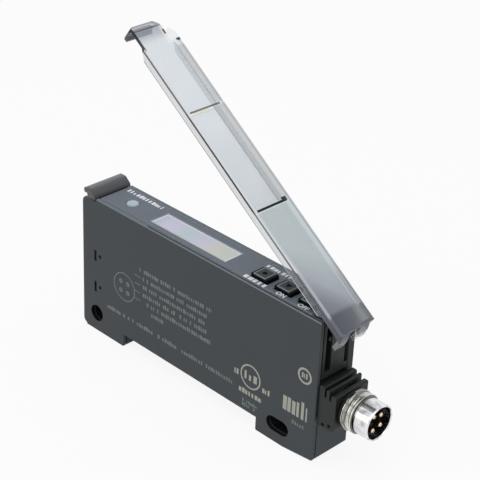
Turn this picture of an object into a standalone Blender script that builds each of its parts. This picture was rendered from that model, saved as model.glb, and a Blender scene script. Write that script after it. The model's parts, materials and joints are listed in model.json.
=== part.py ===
# Slim fibre optic sensor amplifier for a 35 mm top-hat rail, with a clear hinged dust cover.
# Metres, +Z up. The origin is the middle of the rail seat under the case, +X runs towards
# the plug and -Y is the side closed by the removable plate.
import math

import bmesh
import bpy
from mathutils import Matrix

mm = 0.001

# Case outline, seen from the side plate
case_length = 66.1 * mm
case_width = 9.5 * mm
case_top = 28.15 * mm           # panel top above the rail seat
foot_drop = 2.9 * mm            # depth of the rail slot
rail_slot_width = 38.4 * mm
fibre_foot_length = 13.0 * mm
corner_radius = 1.3 * mm
small_radius = 0.25 * mm
heel_length = 7.5 * mm          # raised stretch at the plug end of the foot
heel_rise = 0.85 * mm
seat_relief = 0.4 * mm          # the land stands proud of the ceiling over both hooks
fibre_relief_length = 4.6 * mm
plug_relief_length = 2.0 * mm
shoulder_drop = 0.95 * mm       # side walls are lower under the lever
lever_window_drop = 7.15 * mm   # from the panel down to the end wall under the lever
far_edge_chamfer = 0.15 * mm
plate_edge_radius = 0.55 * mm

# Walls and clearances
end_wall = 1.0 * mm
floor_wall = 1.0 * mm
side_wall = 1.0 * mm
plate_thickness = 0.7 * mm
end_pad = 0.5 * mm              # the far wall is thicker round the hinge and the plug
gap = 0.3 * mm                  # between pieces that are only fitted together
slip = 0.1 * mm                 # round a pin that something turns on
seam = 0.12 * mm                # round the window and the indicator lens

# Fixing holes through both feet, measured from the ends and from the foot
round_hole_inset = 4.6 * mm
round_hole_height = 4.16 * mm
round_hole_radius = 1.85 * mm
slot_hole_inset = 9.1 * mm
slot_hole_raise = 3.9 * mm
slot_hole_length = 5.7 * mm
slot_hole_height = 3.2 * mm
boss_height = 1.0 * mm          # material left over each fixing hole

# Fibre ports and the two marks beside them
fibre_lower_rise = 3.49 * mm    # over the boss round the fixing hole
fibre_pitch = 7.7 * mm
fibre_bore_radius = 1.15 * mm
port_radius = 1.6 * mm
mark_length = 2.4 * mm
mark_width = 0.5 * mm
mark_dot_radius = 0.32 * mm
mark_depth = 0.25 * mm
mark_inset = 4.2 * mm
mark_dot_reach = 1.45 * mm
mark_drop = 0.35 * mm

# Control panel
panel_inset = 4.9 * mm
panel_end_inset = 3.3 * mm
panel_thickness = 1.2 * mm
window_inset = 13.7 * mm
window_length = 20.7 * mm
window_near_edge = 1.28 * mm
window_far_edge = 1.45 * mm
window_ledge_thickness = 0.35 * mm
window_ledge = 0.5 * mm
lens_inset = 5.8 * mm
lens_offset = 0.24 * mm
lens_radius = 1.33 * mm
lens_dome = 0.2 * mm
lens_flange = 0.45 * mm
lens_room_radius = 0.9 * mm
lens_room_height = 0.8 * mm

# Display and indicator under the panel
digit_count = 8
digit_near_margin = 0.97 * mm
digit_far_margin = 0.9 * mm
led_length = 1.6 * mm
led_width = 1.0 * mm
led_height = 0.5 * mm

# Keys
key_names = ("mode_key", "on_key", "off_key")
key_last_inset = 2.55 * mm      # from the last key's middle to the end of the panel
key_pitch = 6.0 * mm
key_length = 4.1 * mm
key_margin = 4.05 * mm          # panel left beside a key, both sides together
key_offset = 0.77 * mm
key_gap = 0.2 * mm
key_rise = 0.85 * mm
key_edge_radius = 0.22 * mm
key_travel = 0.3 * mm
key_flange = 0.5 * mm
key_flange_thickness = 0.65 * mm
key_dimple_depth = 0.2 * mm
key_dimple_radius = 0.5 * mm
key_arrow = 0.75 * mm
key_stop_gap = 0.05 * mm

# Boards inside
board_thickness = 0.8 * mm
panel_board_drop = 5.55 * mm
panel_board_inset = 3.8 * mm
panel_board_margin = 0.55 * mm
main_board_thickness = 1.0 * mm
main_board_start_inset = 18.0 * mm
main_board_end_inset = 4.9 * mm
main_board_far_space = 1.55 * mm
main_board_rise = 0.6 * mm      # over the boss round the slotted hole
board_hole_radius = 0.8 * mm
board_hole_inset = 1.8 * mm
switch_size = 3.4 * mm
switch_height = 1.2 * mm
plunger_radius = 0.8 * mm
plunger_height = 0.4 * mm
chip_thickness = 1.0 * mm
chip_mark_radius = 0.3 * mm
chip_mark_inset = 0.8 * mm
processor_inset = 15.7 * mm     # chips are placed from the corner of the board
processor_rise = 9.3 * mm
processor_size = 7.0 * mm
driver_inset = 5.6 * mm
driver_rise = 12.0 * mm
driver_length = 5.0 * mm
driver_height = 3.9 * mm
capacitor_inset = 31.2 * mm
capacitor_rise = 5.4 * mm
capacitor_radius = 2.0 * mm
capacitor_space = 1.25 * mm     # left between the can and the side plate's seat
capacitor_crimp = 0.15 * mm

# Lever that locks the fibres
lever_inset = 1.7 * mm
lever_drop = 5.15 * mm
lever_pin_radius = 0.6 * mm
lever_hub_radius = 1.5 * mm
lever_hub_space = 0.55 * mm
lever_rise = 1.35 * mm          # tab top over the panel
lever_width = 9.4 * mm
lever_tab_height = 2.0 * mm
lever_tab_back = 1.0 * mm
lever_tab_reach = 2.55 * mm
lever_tab_lip = 0.85 * mm
lever_arm_thickness = 1.0 * mm
lever_finger_reach = 2.7 * mm
lever_finger_height = 1.0 * mm
lever_finger_inset = 1.4 * mm
grip_count = 3
grip_pitch = 0.9 * mm
grip_rise = 1.2 * mm
grip_radius = 0.22 * mm

# Fibre clamp and optics
clamp_inset = 3.9 * mm
clamp_thickness = 1.2 * mm
clamp_drop = 6.55 * mm
clamp_foot = 1.9 * mm           # below the lower fibre
clamp_margin = 0.8 * mm
clamp_eye_radius = 1.45 * mm
clamp_head_height = 0.7 * mm
clamp_spring_reach = 2.0 * mm
clamp_spring_radius = 0.65 * mm
clamp_spring_wire = 0.12 * mm
clamp_spring_turns = 4
optics_length = 12.4 * mm
optics_cover = 3.1 * mm         # over the upper fibre and under the lower one
optics_margin = 0.85 * mm
diode_radius = 1.5 * mm
diode_rim = 0.15 * mm
emitter_length = 3.2 * mm
receiver_length = 2.9 * mm
shield_wall = 0.35 * mm
shield_half = 2.2 * mm

# Rail hook
hook_reach = 4.1 * mm           # how far its nose stands out into the slot
hook_shoulder_length = 1.8 * mm # from the shoulder to the slot
hook_body_length = 5.5 * mm
hook_low_rise = 0.65 * mm       # over the foot
hook_thickness = 1.0 * mm
hook_margin = 0.95 * mm
hook_shoulder_width = 0.4 * mm
hook_travel = 1.5 * mm
hook_ramp_length = 2.0 * mm
hook_ramp_edge = 0.35 * mm
fixed_hook_reach = 1.5 * mm
spring_radius = 0.42 * mm
spring_wire = 0.1 * mm
spring_turns = 5
spring_room = 4.0 * mm          # behind the hook

# Dust cover, in its closed place relative to the hinge axis
hinge_inset = 1.9 * mm
hinge_drop = 2.15 * mm
hinge_pin_radius = 0.6 * mm
cover_open_angle = math.radians(35.5)
cover_margin = 0.45 * mm        # narrower than the case on each side
cover_top = 4.9 * mm
cover_thickness = 0.85 * mm
cover_overhang = 0.7 * mm       # of its tip past the fibre end of the case
cover_heel = 4.3 * mm           # plate end past the hinge axis
cover_tip_chamfer = 0.2 * mm
cover_tip_slope = 1.5 * mm
skirt_bottom = 2.45 * mm
skirt_thickness = 0.8 * mm
skirt_slope = 2.1 * mm
skirt_setback = 4.4 * mm
skirt_heel_rise = 0.75 * mm
rib_places = (22.6 * mm, 44.8 * mm)
rib_thickness = 0.4 * mm
rib_depth = 0.7 * mm
lobe_radius = 7.6 * mm
lobe_centre = (-2.4 * mm, 0.55 * mm)
lobe_drop = 0.4 * mm            # ends of the lobes below the hinge axis
lobe_corner = 0.9 * mm
lip_bottom = 1.5 * mm
lip_wall = 0.6 * mm
lip_barb = 0.4 * mm
lip_barb_height = 0.45 * mm
lip_inset = 2.0 * mm
lip_slope = 1.2 * mm
ear_setback = 2.0 * mm
ear_notch = 1.5 * mm
ear_notch_width = 0.85 * mm
arm_radius = 1.1 * mm

# Hinge block, the black column between the cover's arms
hinge_block_space = 0.5 * mm
hinge_block_top_drop = 0.25 * mm
hinge_block_rise = 0.4 * mm     # over the plug block
groove_rise = 1.5 * mm
cheek_width = 0.65 * mm
near_groove_width = 1.6 * mm
far_groove_width = 1.15 * mm
arm_gap = 0.25 * mm
stop_radius = 0.5 * mm
stop_drop = 2.4 * mm

# Plug block and round plug
plug_height = 13.3 * mm         # over the foot
plug_block_length = 4.1 * mm
plug_block_below = 3.9 * mm
plug_block_above = 4.7 * mm
plug_block_near_margin = 0.4 * mm
plug_block_far_margin = 0.4 * mm
ridge_pitch = 1.18 * mm
ridge_slot_width = 0.48 * mm
ridge_slot_depth = 2.1 * mm
ridge_step = 0.2 * mm           # each ridge is lower than the one behind it
front_ridge_drop = 0.9 * mm
gate_mark_radius = 0.35 * mm
gate_mark_depth = 0.6 * mm
gate_marks = ((2.8 * mm, 3.4 * mm), (1.3 * mm, 3.0 * mm))
wire_bore_radius = 2.4 * mm
seal_radius = 3.9 * mm
seal_length = 0.5 * mm
shell_stem_radius = 3.05 * mm
shell_wall = 0.35 * mm
shell_flange_radius = 4.15 * mm
shell_flange_length = 0.4 * mm
thread_radius = 4.0 * mm
thread_root = 3.75 * mm
thread_length = 1.9 * mm
thread_rings = 3
undercut_depth = 0.25 * mm
undercut_length = 0.4 * mm
nose_radius = 3.6 * mm
nose_bore = 3.2 * mm
nose_length = 3.1 * mm
nose_edge = 0.2 * mm
insert_depth = 2.6 * mm         # of the insert's face inside the nose
insert_edge = 0.15 * mm
insert_key = 0.8 * mm
insert_key_depth = 1.2 * mm
insert_key_reach = 1.0 * mm
pin_radius = 0.5 * mm
pin_tip_radius = 0.25 * mm
pin_tip_inset = 0.5 * mm
pin_tail_length = 2.7 * mm
pin_tail_slim = 1.5 * mm
pin_places = ((-0.95 * mm, 1.5 * mm), (-0.95 * mm, -1.5 * mm), (1.05 * mm, 1.1 * mm), (1.05 * mm, -1.1 * mm))

# Places along the case
rail_slot_left = -rail_slot_width / 2
rail_slot_right = rail_slot_width / 2
case_left = rail_slot_left - fibre_foot_length
case_right = case_left + case_length
seat_land_start = rail_slot_left + fibre_relief_length
seat_land_end = rail_slot_right - plug_relief_length
panel_start = case_left + panel_inset
panel_end = case_right - panel_end_inset
round_hole_x = case_left + round_hole_inset
slot_hole_x = case_right - slot_hole_inset
mark_x = case_left + mark_inset
window_start = panel_start + window_inset
window_end = window_start + window_length
lens_x = panel_start + lens_inset
key_places = [panel_end - key_last_inset - key_pitch * index for index in reversed(range(len(key_names)))]
lever_x = case_left + lever_inset
clamp_x = case_left + clamp_inset
clamp_spring_x = clamp_x + clamp_spring_reach
optics_end = case_left + end_wall + gap + optics_length
main_board_start = case_left + main_board_start_inset
main_board_end = case_right - main_board_end_inset
hook_shoulder_x = rail_slot_left - hook_shoulder_length
hook_rear_x = hook_shoulder_x - hook_body_length
hinge_x = case_right - hinge_inset
cover_tip = hinge_x - case_left + cover_overhang
block_start = case_right + gap
block_end = block_start + plug_block_length
flange_x = block_end + 2 * gap + seal_length
thread_x = flange_x + shell_flange_length
undercut_x = thread_x + thread_length
nose_x = undercut_x + undercut_length
plug_end = nose_x + nose_length
insert_face = plug_end - insert_depth

# Places across the case
near_face = -case_width / 2
far_face = case_width / 2
plate_inner = near_face + plate_thickness
shell_near = plate_inner + gap
shell_inner_far = far_face - side_wall
pad_y = shell_inner_far - end_pad
panel_far = shell_inner_far - gap
panel_middle = (shell_near + panel_far) / 2
window_low_y = shell_near + window_near_edge
window_high_y = panel_far - window_far_edge
lens_y = panel_middle - lens_offset
key_y = panel_middle - key_offset
key_width = panel_far - shell_near - key_margin
board_low_y = shell_near + panel_board_margin
board_high_y = shell_inner_far - panel_board_margin
main_board_y = shell_inner_far - main_board_far_space - main_board_thickness
hub_half = -shell_near - lever_hub_space
finger_half = hub_half - lever_finger_inset
clamp_half = hub_half - clamp_margin
optics_half = -shell_near - optics_margin
hook_rear_half = -shell_near - hook_margin
hook_nose_half = hook_rear_half - hook_shoulder_width
cheek_y = shell_near + cheek_width
column_near = cheek_y + near_groove_width
column_far = pad_y - far_groove_width
cover_half = case_width / 2 - cover_margin
cover_inner = cover_half - skirt_thickness
block_near = near_face + plug_block_near_margin
block_far = far_face - plug_block_far_margin

# Heights
foot_z = -foot_drop
round_hole_z = foot_z + round_hole_height
slot_hole_z = foot_z + slot_hole_raise
fibre_boss_top = round_hole_z + round_hole_radius + boss_height
plug_boss_top = slot_hole_z + slot_hole_height / 2 + boss_height
shoulder_z = case_top - shoulder_drop
lever_window_z = case_top - lever_window_drop
panel_bottom = case_top - panel_thickness
window_floor = panel_bottom + window_ledge_thickness
panel_board_z = case_top - panel_board_drop
under_panel = panel_board_z + board_thickness + gap
main_board_low = plug_boss_top + main_board_rise
lever_z = case_top - lever_drop
lever_top = case_top + lever_rise
clamp_top = case_top - clamp_drop
fibre_lower_z = fibre_boss_top + fibre_lower_rise
fibre_upper_z = fibre_lower_z + fibre_pitch
clamp_bottom = fibre_lower_z - clamp_foot
optics_bottom = fibre_lower_z - optics_cover
optics_top = fibre_upper_z + optics_cover
hook_low_z = foot_z + hook_low_rise
hook_top_z = hook_low_z + hook_thickness
hook_middle_z = (hook_low_z + hook_top_z) / 2
hinge_z = case_top - hinge_drop
plug_z = foot_z + plug_height
block_low = plug_z - plug_block_below
block_top = plug_z + plug_block_above
end_opening_z = plug_z - shell_stem_radius - gap


# Scene and object helpers

def clear_scene():
    for obj in list(bpy.data.objects):
        bpy.data.objects.remove(obj, do_unlink=True)
    for group in list(bpy.data.collections):
        bpy.data.collections.remove(group)


def new_collection(name):
    group = bpy.data.collections.new(name)
    bpy.context.scene.collection.children.link(group)
    return group


def new_finish(name, colour, roughness, metallic=0.0, alpha=1.0):
    finish = bpy.data.materials.new(name)
    finish.use_nodes = True
    shader = finish.node_tree.nodes["Principled BSDF"]
    shader.inputs["Base Color"].default_value = (*colour, 1.0)
    shader.inputs["Roughness"].default_value = roughness
    shader.inputs["Metallic"].default_value = metallic
    shader.inputs["Alpha"].default_value = alpha
    finish.diffuse_color = (*colour, alpha)
    return finish


def add_object(name, mesh, finish=None):
    # With no finish the object is a tool: a cutter, or a form joined to a piece.
    obj = bpy.data.objects.new(name, mesh)
    if finish is None:
        tools.objects.link(obj)
        obj.display_type = "WIRE"
        obj.hide_render = True
    else:
        pieces.objects.link(obj)
        mesh.materials.append(finish)
    return obj


def mesh_from(name, shape):
    bmesh.ops.recalc_face_normals(shape, faces=shape.faces)
    mesh = bpy.data.meshes.new(name)
    shape.to_mesh(mesh)
    shape.free()
    return mesh


def box(name, low, high, finish=None):
    shape = bmesh.new()
    size = [b - a for a, b in zip(low, high)]
    middle = [(a + b) / 2 for a, b in zip(low, high)]
    place = Matrix.Translation(middle) @ Matrix.Diagonal((*size, 1.0))
    bmesh.ops.create_cube(shape, size=1.0, matrix=place)
    return add_object(name, mesh_from(name, shape), finish)


def rod(name, axis, start, end, centre, radius, sides=24, finish=None):
    # A cylinder along X, Y or Z; centre is its place across the other two axes, in X, Y, Z order.
    turn = {"X": Matrix.Rotation(math.pi / 2, 4, "Y"),
            "Y": Matrix.Rotation(-math.pi / 2, 4, "X"),
            "Z": Matrix()}
    middle = list(centre)
    middle.insert("XYZ".index(axis), (start + end) / 2)
    shape = bmesh.new()
    bmesh.ops.create_cone(shape, cap_ends=True, segments=sides, radius1=radius, radius2=radius,
                          depth=end - start, matrix=Matrix.Translation(middle) @ turn[axis])
    mesh = mesh_from(name, shape)
    mesh.shade_smooth()
    mesh.set_sharp_from_angle(angle=math.radians(35))
    return add_object(name, mesh, finish)


def rounded(corners, steps=5):
    # Corners are (x, z, radius); each one with a radius becomes an arc of that radius.
    points = []
    for index, (x, z, radius) in enumerate(corners):
        if radius == 0:
            points.append((x, z))
            continue
        before = corners[index - 1]
        after = corners[(index + 1) % len(corners)]
        angle_in = math.atan2(before[1] - z, before[0] - x)
        angle_out = math.atan2(after[1] - z, after[0] - x)
        opening = (angle_out - angle_in + math.pi) % (2 * math.pi) - math.pi
        half = abs(opening) / 2
        bisector = angle_in + opening / 2
        centre = (x + radius / math.sin(half) * math.cos(bisector),
                  z + radius / math.sin(half) * math.sin(bisector))
        sweep = math.pi - 2 * half
        turn = 1 if opening < 0 else -1
        first = bisector + math.pi - turn * sweep / 2
        for step in range(steps + 1):
            angle = first + turn * sweep * step / steps
            points.append((centre[0] + radius * math.cos(angle), centre[1] + radius * math.sin(angle)))
    return points


def circle_points(x, z, radius, sides=28):
    return [(x + radius * math.cos(2 * math.pi * side / sides),
             z + radius * math.sin(2 * math.pi * side / sides)) for side in range(sides)]


def slot_points(x, z, length, height):
    half_length = length / 2
    half_height = height / 2
    radius = min(half_length, half_height) * 0.999
    return rounded([(x - half_length, z - half_height, radius), (x + half_length, z - half_height, radius),
                    (x + half_length, z + half_height, radius), (x - half_length, z + half_height, radius)],
                   steps=7)


def extruded(name, loops, low, high, finish=None, axis="Y"):
    # The first loop is the outline and the others are holes. Across Y a loop's pairs are
    # (x, z), across Z they are (x, y) and across X they are (y, z).
    curve = bpy.data.curves.new(name, "CURVE")
    curve.dimensions = "2D"
    curve.fill_mode = "BOTH"
    curve.extrude = (high - low) / 2
    for loop in loops:
        spline = curve.splines.new("POLY")
        spline.points.add(len(loop) - 1)
        for point, (across, up) in zip(spline.points, loop):
            point.co = (across, up, 0.0, 1.0)
        spline.use_cyclic_u = True
    drawn = bpy.data.objects.new(name + "_outline", curve)
    tools.objects.link(drawn)
    middle = (low + high) / 2
    if axis == "Y":
        drawn.matrix_world = Matrix.Translation((0, middle, 0)) @ Matrix.Rotation(math.pi / 2, 4, "X")
    elif axis == "Z":
        drawn.matrix_world = Matrix.Translation((0, 0, middle))
    else:
        drawn.matrix_world = (Matrix.Translation((middle, 0, 0)) @ Matrix.Rotation(math.pi / 2, 4, "Z")
                              @ Matrix.Rotation(math.pi / 2, 4, "X"))
    bpy.context.view_layer.update()
    graph = bpy.context.evaluated_depsgraph_get()
    mesh = bpy.data.meshes.new_from_object(drawn.evaluated_get(graph))
    mesh.name = name
    mesh.transform(drawn.matrix_world)
    bpy.data.objects.remove(drawn, do_unlink=True)
    shape = bmesh.new()
    shape.from_mesh(mesh)
    bmesh.ops.remove_doubles(shape, verts=shape.verts, dist=1e-6)
    bmesh.ops.recalc_face_normals(shape, faces=shape.faces)
    shape.to_mesh(mesh)
    shape.free()
    mesh.materials.clear()
    return add_object(name, mesh, finish)


def turned(name, profile, centre, finish=None, sides=32, axis="X"):
    # The profile's pairs are (distance along the axis, radius), listed from the far end
    # back along the outside, so that the faces of the swept surface point outwards.
    mesh = bpy.data.meshes.new(name)
    closed = min(radius for along, radius in profile) > 0
    count = len(profile)
    edges = [(index, index + 1) for index in range(count - 1)]
    if closed:
        edges.append((count - 1, 0))
    mesh.from_pydata([(radius, 0.0, along) for along, radius in profile], edges, [])
    obj = add_object(name, mesh, finish)
    obj.location = centre
    if axis == "X":
        obj.rotation_euler = (0, math.pi / 2, 0)
    elif axis == "Y":
        obj.rotation_euler = (-math.pi / 2, 0, 0)
    screw = obj.modifiers.new("turned", "SCREW")
    screw.axis = "Z"
    screw.steps = sides
    screw.render_steps = sides
    screw.use_merge_vertices = True
    screw.merge_threshold = 1e-6
    screw.use_smooth_shade = True
    return obj


def boolean(target, tool, operation):
    step = target.modifiers.new(tool.name, "BOOLEAN")
    step.operation = operation
    step.object = tool
    step.solver = "EXACT"


def cut(target, tool):
    boolean(target, tool, "DIFFERENCE")


def join(target, tool):
    boolean(target, tool, "UNION")


def round_edges(obj, wanted, width, segments=3):
    # Bevels the edges whose two ends both pass the test.
    shape = bmesh.new()
    shape.from_mesh(obj.data)
    edges = [edge for edge in shape.edges if wanted(edge.verts[0].co) and wanted(edge.verts[1].co)]
    bmesh.ops.bevel(shape, geom=edges, offset=width, segments=segments, profile=0.5, affect="EDGES",
                    clamp_overlap=True)
    shape.to_mesh(obj.data)
    shape.free()


def pivot(name, place, tilt=0.0):
    empty = bpy.data.objects.new(name, None)
    pieces.objects.link(empty)
    empty.location = place
    empty.rotation_euler = (0, tilt, 0)
    empty.empty_display_size = 0.005
    return empty


# Case

def case_outline():
    return rounded([(case_left, foot_z, corner_radius), (rail_slot_left, foot_z, small_radius),
                    (rail_slot_left, 0, 0), (rail_slot_right, 0, 0),
                    (rail_slot_right, foot_z, small_radius),
                    (case_right - heel_length, foot_z, corner_radius),
                    (case_right, foot_z + heel_rise, small_radius), (case_right, case_top, small_radius),
                    (panel_start - gap, case_top, small_radius), (panel_start - gap, shoulder_z, 0),
                    (case_left, shoulder_z, corner_radius - small_radius)])


def fixing_holes():
    return [circle_points(round_hole_x, round_hole_z, round_hole_radius),
            slot_points(slot_hole_x, slot_hole_z, slot_hole_length, slot_hole_height)]


def make_case_shell():
    shell = extruded("case_shell", [case_outline(), *fixing_holes()], shell_near, far_face, slate)
    boss_end = round_hole_x + round_hole_radius + 2 * boss_height + end_wall
    above = case_top + end_wall
    room = rounded([(case_left + end_wall, fibre_boss_top, 0), (boss_end, fibre_boss_top, 0),
                    (boss_end, floor_wall, 0), (rail_slot_right + floor_wall, floor_wall, 0),
                    (rail_slot_right + floor_wall, plug_boss_top, 0), (panel_end + gap, plug_boss_top, 0),
                    (panel_end + gap, above, 0), (case_left - end_wall, above, 0),
                    (case_left - end_wall, lever_window_z, 0), (case_left + end_wall, lever_window_z, 0)])
    cut(shell, extruded("room_cut", [room], near_face, shell_inner_far))
    cut(shell, box("end_room_cut", (panel_end, near_face, end_opening_z),
                   (case_right + end_wall, pad_y, above)))
    cut(shell, box("heel_room_cut", (panel_end, near_face, plug_boss_top),
                   (case_right - end_wall, pad_y, end_opening_z + gap)))
    for name, start, end in (("fibre_end", rail_slot_left, seat_land_start),
                             ("plug_end", seat_land_end, rail_slot_right)):
        cut(shell, box("%s_relief_cut" % name, (start, shell_near - gap, -gap),
                       (end, far_face + gap, seat_relief)))
    cut(shell, far_edge_cutter())
    for name, height in (("upper_port_cut", fibre_upper_z), ("lower_port_cut", fibre_lower_z)):
        cut(shell, rod(name, "X", case_left - end_wall, case_left + 1.5 * end_wall, (0, height),
                       port_radius))
    front = hook_shoulder_x + gap
    back = hook_rear_x - spring_room - gap
    mouth = rail_slot_left + end_wall
    wide = hook_rear_half + gap
    narrow = hook_nose_half + gap
    pocket = [(back, -wide), (front, -wide), (front, -narrow), (mouth, -narrow),
              (mouth, narrow), (front, narrow), (front, wide), (back, wide)]
    cut(shell, extruded("hook_pocket_cut", [pocket], hook_low_z - gap + small_radius / 5, hook_top_z + gap,
                        axis="Z"))
    tip = rail_slot_right - fixed_hook_reach
    nub = [(rail_slot_right + end_wall, hook_low_z), (rail_slot_right + end_wall, hook_top_z),
           (tip, hook_top_z), (tip, hook_middle_z), (tip + fixed_hook_reach / 2, hook_low_z)]
    join(shell, extruded("fixed_hook_form", [nub], -hook_nose_half, hook_nose_half))
    seat_end = far_face - end_wall / 2
    cut(shell, rod("cover_pin_seat_cut", "Y", pad_y - gap, seat_end, (hinge_x, hinge_z),
                   hinge_pin_radius + slip))
    cut(shell, rod("lever_pin_seat_cut", "Y", shell_inner_far - gap, seat_end, (lever_x, lever_z),
                   lever_pin_radius + slip))
    return shell


def far_edge_cutter():
    # A long wedge that breaks the far top edge of the case.
    reach = far_edge_chamfer
    wedge = [(far_face - reach, case_top), (far_face - reach, case_top + reach),
             (far_face + reach, case_top + reach), (far_face + reach, case_top - reach),
             (far_face, case_top - reach)]
    return extruded("far_edge_cut", [wedge], panel_start - gap, case_right + end_wall, axis="X")


def make_case_side_plate():
    plate = extruded("case_side_plate", [case_outline(), *fixing_holes()], near_face, plate_inner,
                     slate_plate)
    round_edges(plate, lambda point: point.x < case_left + corner_radius and abs(point.y - near_face) < 1e-6,
                plate_edge_radius)
    for name, height in (("upper", fibre_upper_z - mark_drop), ("lower", fibre_lower_z)):
        cut(plate, extruded("%s_mark_cut" % name, [slot_points(mark_x, height, mark_width, mark_length)],
                            near_face - gap, near_face + mark_depth))
        cut(plate, rod("%s_dot_cut" % name, "Y", near_face - gap, near_face + mark_depth,
                       (mark_x + mark_dot_reach, height + mark_width / 2), mark_dot_radius, sides=14))
    # A collar inside the plate carries the near end of the lever pin.
    collar_end = -hub_half - gap
    join(plate, rod("pin_collar_form", "Y", plate_inner - plate_thickness / 2, collar_end,
                    (lever_x, lever_z), 2 * lever_pin_radius))
    cut(plate, rod("pin_collar_cut", "Y", plate_inner - plate_thickness / 4, collar_end + gap,
                   (lever_x, lever_z), lever_pin_radius + slip))
    return plate


def make_control_panel():
    panel = box("control_panel", (panel_start, shell_near, panel_bottom), (panel_end, panel_far, case_top),
                panel_grey)
    window = rounded([(window_start - seam, window_low_y - seam, small_radius),
                      (window_end + seam, window_low_y - seam, small_radius),
                      (window_end + seam, window_high_y + seam, small_radius),
                      (window_start - seam, window_high_y + seam, small_radius)], steps=3)
    cut(panel, extruded("window_cut", [window], window_floor, case_top + gap, axis="Z"))
    cut(panel, box("window_through_cut",
                   (window_start + window_ledge, window_low_y + window_ledge, panel_bottom - gap),
                   (window_end - window_ledge, window_high_y - window_ledge, window_floor + gap / 2)))
    half_length = key_length / 2 + key_gap
    half_width = key_width / 2 + key_gap
    for name, x in zip(key_names, key_places):
        cut(panel, box("%s_well_cut" % name, (x - half_length, key_y - half_width, panel_bottom - gap),
                       (x + half_length, key_y + half_width, case_top + gap)))
    cut(panel, rod("lens_hole_cut", "Z", panel_bottom - gap, case_top + gap, (lens_x, lens_y),
                   lens_radius + seam, sides=32))
    return panel


def make_display():
    outline = rounded([(window_start, window_low_y, small_radius), (window_end, window_low_y, small_radius),
                       (window_end, window_high_y, small_radius),
                       (window_start, window_high_y, small_radius)], steps=3)
    extruded("display_window", [outline], window_floor + seam, case_top - seam / 2, window_clear, axis="Z")
    top = panel_bottom - gap
    start = window_start + window_ledge + gap
    end = window_end - window_ledge - gap
    module = box("display_module", (start, window_low_y + gap, under_panel),
                 (end, window_high_y - gap / 2, top), display_pale)
    # Shallow places for the digits, along the whole display.
    pitch = (end - start) / digit_count
    for place in range(digit_count):
        x = start + (place + 0.5) * pitch
        half = 0.36 * pitch
        cut(module, box("digit_%d_cut" % (place + 1),
                        (x - half, window_low_y + digit_near_margin, top - gap / 2),
                        (x + half, window_high_y - digit_far_margin, top + gap)))
    edge = lens_radius + gap
    room = under_panel + lens_room_height
    profile = [(case_top + lens_dome, 0), (case_top + 0.92 * lens_dome, 0.3 * lens_radius),
               (case_top + 0.7 * lens_dome, 0.6 * lens_radius),
               (case_top + 0.25 * lens_dome, 0.88 * lens_radius),
               (case_top - gap / 2, lens_radius), (top, lens_radius), (top, edge), (top - lens_flange, edge),
               (top - lens_flange, lens_room_radius), (room, lens_room_radius), (room, 0)]
    turned("indicator_lens", profile, (lens_x, lens_y, 0), lens_clear, sides=28, axis="Z")
    box("status_led", (lens_x - led_length / 2, lens_y - led_width / 2, under_panel),
        (lens_x + led_length / 2, lens_y + led_width / 2, under_panel + led_height), led_pale)


def make_keys():
    stem_end = under_panel + switch_height + plunger_height + key_travel + key_stop_gap
    flange_top = panel_bottom - gap
    flange_low = flange_top - key_flange_thickness
    key_top = case_top + key_rise
    half_length = key_length / 2
    half_width = key_width / 2
    for index, (name, x) in enumerate(zip(key_names, key_places)):
        # The cap is modelled around the middle of its own travel line.
        cap = box(name, (-half_length, -half_width, flange_low - panel_bottom),
                  (half_length, half_width, key_top - panel_bottom), key_black)
        round_edges(cap, lambda point: point.z > 0, key_edge_radius, segments=2)
        cap.location = (x, key_y, panel_bottom)
        join(cap, box("%s_flange_form" % name,
                      (x - half_length + gap / 2, key_y - half_width - key_flange, flange_low),
                      (x + half_length - gap / 2, key_y + half_width + key_flange, flange_top)))
        join(cap, rod("%s_stem_form" % name, "Z", stem_end, flange_low + gap, (x, key_y), plunger_radius,
                      sides=16))
        low = key_top - key_dimple_depth
        if index == 0:
            cut(cap, rod("%s_dimple_cut" % name, "Z", low, key_top + gap, (x, key_y), key_dimple_radius,
                         sides=18))
        else:
            side = key_arrow if index == 1 else -key_arrow
            arrow = [(x, key_y - side), (x + key_arrow, key_y + 0.73 * side),
                     (x - key_arrow, key_y + 0.73 * side)]
            cut(cap, extruded("%s_dimple_cut" % name, [arrow], low, key_top + gap, axis="Z"))
        half = switch_size / 2
        switch = box("key_switch_%d" % (index + 1), (x - half, key_y - 0.9 * half, under_panel),
                     (x + half, key_y + 0.9 * half, under_panel + switch_height), switch_metal)
        join(switch, rod("plunger_%d_form" % (index + 1), "Z", under_panel + gap,
                         under_panel + switch_height + plunger_height, (x, key_y), plunger_radius, sides=16))


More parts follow.
